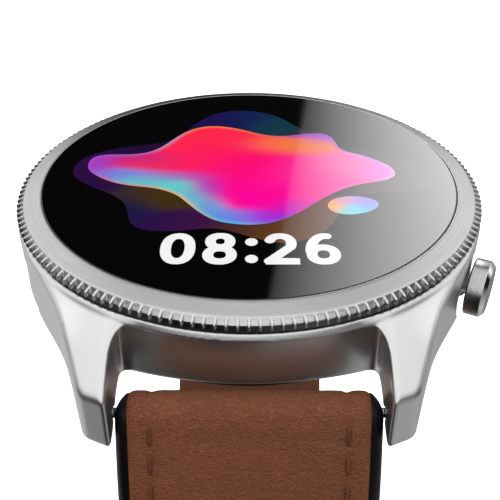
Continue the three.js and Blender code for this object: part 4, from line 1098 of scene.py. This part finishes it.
def stitches(st, name, s0, s1, half_fn, groove_at, outward, crown, pitch=2.55, length=1.75, mat=None):
    cos_, quads, caps = [], [], []
    seg, ring = 9, 8
    sgrid = np.arange(s0, s1, pitch)
    for side in (-1, 1):
        for s in sgrid:
            t = np.linspace(-0.5, 0.5, seg)
            ss = s + t * length
            W = half_fn(ss)
            x = side * (W - groove_at) + side * 0.0
            p, T, N = st.at(ss)
            h = st.thick(ss) / 2
            bow = -0.13 + 0.11 * (1 - (2 * t) ** 2) ** 0.7
            c2 = p + (N * outward) * (h + crown * 0.6 + bow)[:, None]
            rad = 0.15 * np.clip(1 - (2 * np.abs(t)) ** 6, 0.25, 1)
            a = np.arange(ring) * 2 * math.pi / ring
            tw = 0.0
            for k in range(seg):
                for ang in a:
                    cos_.append((x[k] + rad[k] * 1.15 * math.cos(ang + tw), c2[k, 0] + N[k, 0] * outward * rad[k] * math.sin(ang + tw), c2[k, 1] + N[k, 1] * outward * rad[k] * math.sin(ang + tw)))
            b0 = len(cos_) - seg * ring
            quads.append(grid_quads(seg, ring, close_m=True, base=b0))
            caps.append(list(range(b0, b0 + ring))); caps.append(list(range(b0 + (seg - 1) * ring, b0 + seg * ring))[::-1])
    o = make_obj(name, cos_, quads=np.concatenate(quads), polys=caps)
    fix_normals(o)
    return o


leather_w = lambda st: (lambda s: np.maximum(st.half_w(s) - 1.0, 0.05))
near_lw = lambda s: np.maximum(np.where(np.asarray(s) > near.L - 9, np.sqrt(np.clip(1 - ((np.asarray(s, float) - (near.L - 9)) / 8.0) ** 2, 0, 1)) * 9.1, near.half_w(s) - 1.0), 0.05)

core6 = strap_core(near, "strap_6_body", near.L)
finish_piece(core6, M_EDGE, "strap_6", "strap_6_core", sharp=50)
lea6 = sheet_on(near, "strap_6_top", 0.0, near.L - 1.05, near_lw, 1, 0.42, 0.10, 1.95, 11, wrap_deg=150)
finish_piece(lea6, M_LEATHER, "strap_6", "strap_6_leather")
lin6 = sheet_on(near, "strap_6_inner", 5.3, near.L - 1.05, near_lw, -1, 0.35, 0.03, 0, 23, wr=0.4)
finish_piece(lin6, M_LINING, "strap_6", "strap_6_lining")
st6 = stitches(near, "strap_6_stitching", 1.4, near.L - 12, near_lw, 1.95, 1, 0.10)
finish_piece(st6, M_THREAD, "strap_6", None)



def punch(objs, st, spots, radius, inverted=()):
    """Cut round holes straight through the strap's layers."""
    co, polys = [], []
    n = 28
    for s0 in spots:
        p, T, N = st.at(np.array([s0]))
        b0 = len(co)
        for h_ in (-4.0, 4.0):
            for k in range(n):
                a = 2 * math.pi * k / n
                co.append((radius * math.cos(a), p[0, 0] + N[0, 0] * h_ + T[0, 0] * radius * math.sin(a), p[0, 1] + N[0, 1] * h_ + T[0, 1] * radius * math.sin(a)))
        polys += [[b0 + k, b0 + (k + 1) % n, b0 + n + (k + 1) % n, b0 + n + k] for k in range(n)]
        polys += [list(range(b0, b0 + n))[::-1], list(range(b0 + n, b0 + 2 * n))]
    cut = make_obj("cutter", co, polys=polys, smooth=False)
    fix_normals(cut)
    for o in objs:
        if o in inverted:
            o.data.flip_normals()
        md = o.modifiers.new("holes", "BOOLEAN")
        md.operation = "DIFFERENCE"; md.object = cut; md.solver = "EXACT"
    bpy.context.view_layer.update()
    dg = bpy.context.evaluated_depsgraph_get()
    for o in objs:
        me = bpy.data.meshes.new_from_object(o.evaluated_get(dg))
        o.modifiers.clear()
        old = o.data
        def reach(m):
            c = np.empty(len(m.vertices) * 3); m.vertices.foreach_get("co", c)
            return np.abs(c.reshape(-1, 3)).max(0)
        if len(me.polygons) > 100 and (reach(me) < reach(old) + 0.05 * MM).all():
            me.name = old.name + "_cut"
            o.data = me
        fix_normals(o)
    bpy.data.objects.remove(cut, do_unlink=True)


punch([core6, lea6, lin6], near, [near.L - 24.3 - 6.5 * i for i in range(7)], 1.0, inverted=(lin6,))

far_lw = leather_w(far)
core12 = strap_core(far, "strap_12_body", far.L)
finish_piece(core12, M_EDGE, "strap_12", "strap_12_core", sharp=50)
lea12 = sheet_on(far, "strap_12_top", 0.0, far.L - 2.2, far_lw, 1, 0.42, 0.10, 1.95, 31, wrap_deg=150)
finish_piece(lea12, M_LEATHER, "strap_12", "strap_12_leather")
lin12 = sheet_on(far, "strap_12_inner", 5.3, far.L - 2.2, lambda s: far.half_w(s) - 0.15, -1, 0.35, 0.03, 0, 43, wr=0.4)
finish_piece(lin12, M_LINING, "strap_12", "strap_12_lining")
st12 = stitches(far, "strap_12_stitching", 1.4, far.L - 4, far_lw, 1.95, 1, 0.10)
finish_piece(st12, M_THREAD, "strap_12", None)

# ------------------------------------------------------------------ keepers, buckle, bars
def frame_on(st, s, side):
    """4x4 (mm): x across, y along the strap away from the case, z outwards, at arc length s."""
    p, T, N = st.at(np.array([float(s)]))
    Mx = np.eye(4)
    Mx[:3, 0] = (1, 0, 0); Mx[:3, 1] = (0, T[0, 0], T[0, 1]); Mx[:3, 2] = (0, N[0, 0], N[0, 1])
    Mx[:3, 3] = (0, p[0, 0], p[0, 1])
    return Mx


def rr_loop(w, h, r, n=9):
    """Counter-clockwise rounded rectangle w by h."""
    out = []
    for cx, cy, a0 in ((w / 2 - r, h / 2 - r, 0), (-(w / 2 - r), h / 2 - r, 90), (-(w / 2 - r), -(h / 2 - r), 180), (w / 2 - r, -(h / 2 - r), 270)):
        for k in range(n):
            a = math.radians(a0 + 90 * k / (n - 1))
            out.append((cx + r * math.cos(a), cy + r * math.sin(a)))
    return np.array(out)


def resample(loop, step):
    L = np.vstack([loop, loop[:1]])
    d = np.concatenate([[0], np.cumsum(np.linalg.norm(np.diff(L, axis=0), axis=1))])
    n = int(d[-1] / step)
    t = np.arange(n) * d[-1] / n
    return np.stack([np.interp(t, d, L[:, 0]), np.interp(t, d, L[:, 1])], -1)


def keeper_piece(name, Mx, seed):
    """Leather loop: rounded bands swept round a rounded rectangle, with a soft bulge and worn edges."""
    mid = resample(rr_loop(23.3, 6.8, 1.25), 0.35)
    n = len(mid)
    tan = np.roll(mid, -1, 0) - np.roll(mid, 1, 0)
    tan /= np.linalg.norm(tan, axis=1)[:, None]
    nor = np.stack([tan[:, 1], -tan[:, 0]], -1)
    hw, ht = 2.2, 0.42
    sec = []
    for k in range(12):
        y = -hw + 0.38 + (2 * hw - 0.76) * k / 11
        sec.append((y, ht + 0.05 * math.cos(y / hw * math.pi / 2)))
    for k in range(1, 8):
        a = math.pi / 2 - k * math.pi / 8
        sec.append((hw - 0.38 + 0.38 * math.cos(a), ht * math.sin(a)))
    for k in range(12):
        y = hw - 0.38 - (2 * hw - 0.76) * k / 11
        sec.append((y, -ht))
    for k in range(1, 8):
        a = -math.pi / 2 - k * math.pi / 8
        sec.append((-(hw - 0.38) + 0.38 * math.cos(a), ht * math.sin(a)))
    sec = np.array(sec)
    U = np.arange(n) * 0.35
    bump = np.array([[wrinkle(np.array([yy * 1.0]), np.array([uu]), seed)[0] * 0.5 if off > 0.3 else 0 for yy, off in sec] for uu in U])
    X = mid[:, None, 0] + nor[:, None, 0] * (sec[None, :, 1] + bump)
    Zl = mid[:, None, 1] + nor[:, None, 1] * (sec[None, :, 1] + bump) + 1.35
    Yl = np.tile(sec[None, :, 0], (n, 1))
    co = np.stack([X, Yl, Zl], -1).reshape(-1, 3)
    co = co @ Mx[:3, :3].T + Mx[:3, 3]
    o = make_obj(name, co, quads=grid_quads(n, len(sec), close_n=True, close_m=True))
    fix_normals(o)
    return o


kf = keeper_piece("keeper_fixed_loop", frame_on(far, 64.0, 1), 51)
finish_piece(kf, M_LEATHER, "strap_12", "fixed_keeper")
kr = keeper_piece("keeper_free_loop", frame_on(far, 52.0, 1), 61)
finish_piece(kr, M_LEATHER, "keeper", "free_keeper")

# buckle frame: rounded bow with hollowed window, distance-field mesh in the buckle's own frame
BM = frame_on(far, far.L, 1)


def buckle_sdf(x, y, z):
    ax = np.abs(x)
    plan = smax(ax - 12.15, -1.35 - y, 0.5)
    plan = smax(plan, y - 9.35, 0.5)
    plan = smax(plan, 0.61 * (ax - 11.4) + 0.79 * (y - 8.6), 1.2)
    d = smax(plan, np.abs(z) - (1.25 - 0.10 * (ax / 12.0) ** 2), 0.7)
    win = smax(smax(ax - 10.35, y - 6.6, 1.4), -4.0 - y, 0.1)
    d = smax(d, -win, 0.6)
    notch = smax(ax - 1.45, 0.6 - z, 0.3)
    notch = np.maximum(notch, 5.0 - y)
    d = smax(d, -notch, 0.25)
    bore = np.sqrt(y * y + z * z) - 0.62
    bore = np.maximum(bore, ax - 11.7)
    return smax(d, -bore, 0.15)


Pb, Qb = surface_net(buckle_sdf, (-12.8, -2.2, -2.0), (12.8, 10.2, 2.0), 0.2)
bk = make_obj("buckle_bow", Pb @ BM[:3, :3].T + BM[:3, 3], quads=Qb)
fix_normals(bk)
finish_piece(bk, M_POLISH, "buckle", "buckle_frame")


def tongue_sdf(x, y, z):
    hub = np.maximum(np.sqrt(y * y + z * z) - 1.32, np.abs(x) - 1.25)
    hub = smax(np.sqrt(y * y + z * z) - 1.32, np.abs(x) - 1.25, 0.3)
    mid = 1.15 - 0.012 * (y - 4.5) ** 2 * 0.6
    arm = smax(np.abs(x) - (0.98 - 0.03 * np.clip(y - 2, 0, 7)), np.abs(z - mid) - 0.37, 0.35)
    arm = smax(arm, y - 8.95, 0.5)
    arm = np.maximum(arm, 0.3 - y)
    d = smin(hub, arm, 0.5)
    return smax(d, -(np.sqrt(y * y + z * z) - 0.64), 0.1)


Pt, Qt = surface_net(tongue_sdf, (-2, -2, -2), (2, 9.6, 2.2), 0.14)
tg = make_obj("buckle_pin", Pt @ BM[:3, :3].T + BM[:3, 3], quads=Qt)
fix_normals(tg)
finish_piece(tg, M_POLISH, "tongue", "buckle_tongue")

XM = np.eye(4); XM[:3, 0] = (0, 1, 0); XM[:3, 1] = (0, 0, 1); XM[:3, 2] = (1, 0, 0)


def bar_piece(name, prof, y, z, seg=48):
    Mx = XM.copy(); Mx[:3, 3] = (0, y, z)
    return lathe_obj(name, prof, seg, Mx, closed=False)


bp = rounded([(0, -11.6), (0.58, -11.6), (0.58, 11.6), (0, 11.6)], [0, 0.12, 0.12, 0], 4)
finish_piece(bar_piece("buckle_rod", bp, BM[1, 3], BM[2, 3]), M_POLISH, "strap_12", "buckle_bar", sharp=35)
for nm, sd in (("6", -1), ("12", 1)):
    prof = rounded([(0, -12.2), (0.44, -12.2), (0.44, -10.62), (0.78, -10.58), (0.78, 2.55), (0.78, 10.58), (0.6, 10.6), (0.6, 2.6), (0, 2.6)], [0, 0.12, 0.04, 0.1, 0, 0.1, 0.04, 0, 0], 3)
    o = bar_piece("spring_bar_tube_" + nm, prof, sd * BAR_Y, BAR_Z)
    finish_piece(o, M_POLISH, "strap_" + nm, "spring_bar_" + nm, sharp=35)

# back cover and sensor dome
prof = rounded([(11.3, 1.5), (11.3, 1.0), (17.6, 1.0), (20.2, 1.62), (20.22, 2.1), (12.4, 2.1), (12.4, 1.5), (11.3, 1.5)], [0, 0.08, 0.6, 0.15, 0.05, 0.05, 0, 0], 5)[:-1]
o = lathe_obj("back_shell", prof, 144, closed=True)
finish_piece(o, M_BLACK, "case", "back_cover", sharp=35)
prof = rounded([(0, 0), (8.4, 0), (10.2, 0.28), (11.05, 0.85), (11.05, 1.62), (12.1, 1.64), (12.1, 2.0), (9.0, 2.0), (9.0, 0.6), (0, 0.6)], [0, 0.6, 0.5, 0.3, 0.05, 0.05, 0.05, 0.05, 0.05, 0], 6)
o = lathe_obj("sensor_dome", prof, 144)
finish_piece(o, M_SENSOR, "case", "sensor_window", sharp=30)

# ------------------------------------------------------------------ CAD nodes that stay: give each its material
NODE_MAT = {
    "bezel_click_ring": M_POLISH, "glass_seal": M_RUBBER, "display_panel": M_BLACK, "display_frame": M_BLACK, "display_flex": M_FLEX, "inner_frame": M_BLACK,
    "main_board": M_BOARD, "processor_shield": M_POLISH, "radio_shield": M_POLISH, "memory_chip": M_CHIP, "motion_sensor": M_CHIP, "microphone": M_POLISH,
    "speaker": M_CHIP, "haptic_motor": M_POLISH, "battery": M_BATT, "sensor_board": M_BOARD, "sensor_led_green": M_LED, "sensor_led_infrared": M_LED,
    "sensor_photodiode": M_CHIP, "back_cover": M_BLACK, "sensor_window": M_SENSOR, "back_gasket": M_RUBBER, "charging_pin_1": M_GOLD, "charging_pin_2": M_GOLD,
    "crown_seal": M_RUBBER, "crown_stem": M_POLISH, "crown_clip": M_POLISH, "crown_encoder_wheel": M_CHIP, "crown_sensor": M_CHIP, "crown_switch": M_POLISH,
    "spring_bar_6": M_POLISH, "release_lever_6": M_POLISH, "spring_bar_12": M_POLISH, "release_lever_12": M_POLISH, "buckle_bar": M_POLISH,
    "buckle_frame": M_POLISH, "buckle_tongue": M_POLISH, "fixed_keeper": M_LEATHER, "free_keeper": M_LEATHER,
}
for i in range(1, 5):
    NODE_MAT["back_screw_%d" % i] = M_POLISH
for n, mt in NODE_MAT.items():
    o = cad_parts[n]
    o.data.materials.clear()
    o.data.materials.append(mt)

# ------------------------------------------------------------------ stage: floor, light
def stage_plane(name, size, loc, rot=(0, 0, 0), mat=None):
    s = size if isinstance(size, tuple) else (size, size)
    me = bpy.data.meshes.new(name)
    me.from_pydata([(-s[0] / 2, -s[1] / 2, 0), (s[0] / 2, -s[1] / 2, 0), (s[0] / 2, s[1] / 2, 0), (-s[0] / 2, s[1] / 2, 0)], [], [(0, 1, 2, 3)])
    o = bpy.data.objects.new(name, me)
    o.location = loc; o.rotation_euler = rot
    scene.collection.objects.link(o)
    if mat:
        me.materials.append(mat)
    return o


m, nt, b = new_mat("floor_white")
b.inputs["Base Color"].default_value = (0.93, 0.93, 0.93, 1)
b.inputs["Roughness"].default_value = 0.9
b.inputs["Emission Color"].default_value = (1, 1, 1, 1)
b.inputs["Emission Strength"].default_value = 1.0
floor = stage_plane("floor", 6.0, (0, 0, -0.125), mat=m)
floor.visible_glossy = False
floor.visible_diffuse = False
floor.visible_shadow = False

# the studio round the watch: one wide overhead box, a strip card high on the right, weak fills low on both sides
world = bpy.data.worlds.new("world"); scene.world = world
world.use_nodes = True
wt = world.node_tree
bg = wt.nodes["Background"]
wdir = wt.nodes.new("ShaderNodeTexCoord").outputs["Generated"]


def wdot(v):
    n = wt.nodes.new("ShaderNodeVectorMath"); n.operation = "DOT_PRODUCT"
    link(wt, wdir, n.inputs[0])
    v = np.array(v, float); v /= np.linalg.norm(v)
    n.inputs[1].default_value = tuple(v)
    return n.outputs["Value"]


def lobe(v, inner_deg, outer_deg, amp):
    return maprange(wt, wdot(v), math.cos(math.radians(outer_deg)), math.cos(math.radians(inner_deg)), 0.0, amp, True)


parts = [
    lobe((-0.03, -0.46, 0.888), 39, 67, 1.12),
    lobe((-0.70, 0.40, -0.60), 15, 60, 0.62),
    lobe((0.70, 0.40, -0.60), 15, 60, 0.42),
    lobe((0.60, -0.60, -0.50), 8, 42, 0.30),
]
edge_t = wdot((0.98274, -0.13002, 0.13159))
card = math_node(wt, "MULTIPLY", maprange(wt, edge_t, -0.004, 0.006, 0, 1, True), maprange(wt, edge_t, 0.0, 0.20, 0.30, 4.75))
card = math_node(wt, "MULTIPLY", card, maprange(wt, edge_t, 0.205, 0.26, 1, 0, True))
low = maprange(wt, wdot((0, 0, 1)), 0.10, 0.30, 0, 1, True)
back = maprange(wt, wdot((0, 1, 0)), 0.35, 0.60, 0, 1, True)
high = maprange(wt, wdot((0, 0, 1)), 0.64, 0.74, 1, 0, True)
card = math_node(wt, "MULTIPLY", math_node(wt, "MULTIPLY", card, low), math_node(wt, "MULTIPLY", back, high))
wing_up = maprange(wt, wdot((0, 0, 1)), -0.05, 0.20, 0, 1, True)
for sx_, amp in ((-1, 0.95), (1, 1.0)):
    parts.append(math_node(wt, "MULTIPLY", maprange(wt, wdot((sx_, 0, 0)), 0.29, 0.44, 0, amp, True), math_node(wt, "MULTIPLY", wing_up, maprange(wt, wdot((0, 1, 0)), -0.1, 0.25, 0, 1, True))))
tot = card
for q_ in parts:
    tot = math_node(wt, "ADD", tot, q_)
tot = math_node(wt, "ADD", tot, 0.012)
link(wt, tot, bg.inputs[1])
bg.inputs[0].default_value = (1, 1, 1, 1)
lp = wt.nodes.new("ShaderNodeLightPath")
bg2 = wt.nodes.new("ShaderNodeBackground"); bg2.inputs[0].default_value = (1, 1, 1, 1); bg2.inputs[1].default_value = 1.0
mixw = wt.nodes.new("ShaderNodeMixShader")
link(wt, lp.outputs["Is Camera Ray"], mixw.inputs[0]); link(wt, bg.outputs[0], mixw.inputs[1]); link(wt, bg2.outputs[0], mixw.inputs[2])
link(wt, mixw.outputs[0], wt.nodes["World Output"].inputs["Surface"])


def area(name, loc, target, size, power, size_y=None):
    d = bpy.data.lights.new(name, "AREA")
    d.energy = power
    d.shape = "RECTANGLE"; d.size = size; d.size_y = size_y or size
    o = bpy.data.objects.new(name, d)
    scene.collection.objects.link(o)
    o.location = loc
    v = Vector(target) - Vector(loc)
    o.rotation_euler = v.to_track_quat("-Z", "Y").to_euler()
    return o


scene.view_settings.view_transform = "Standard"
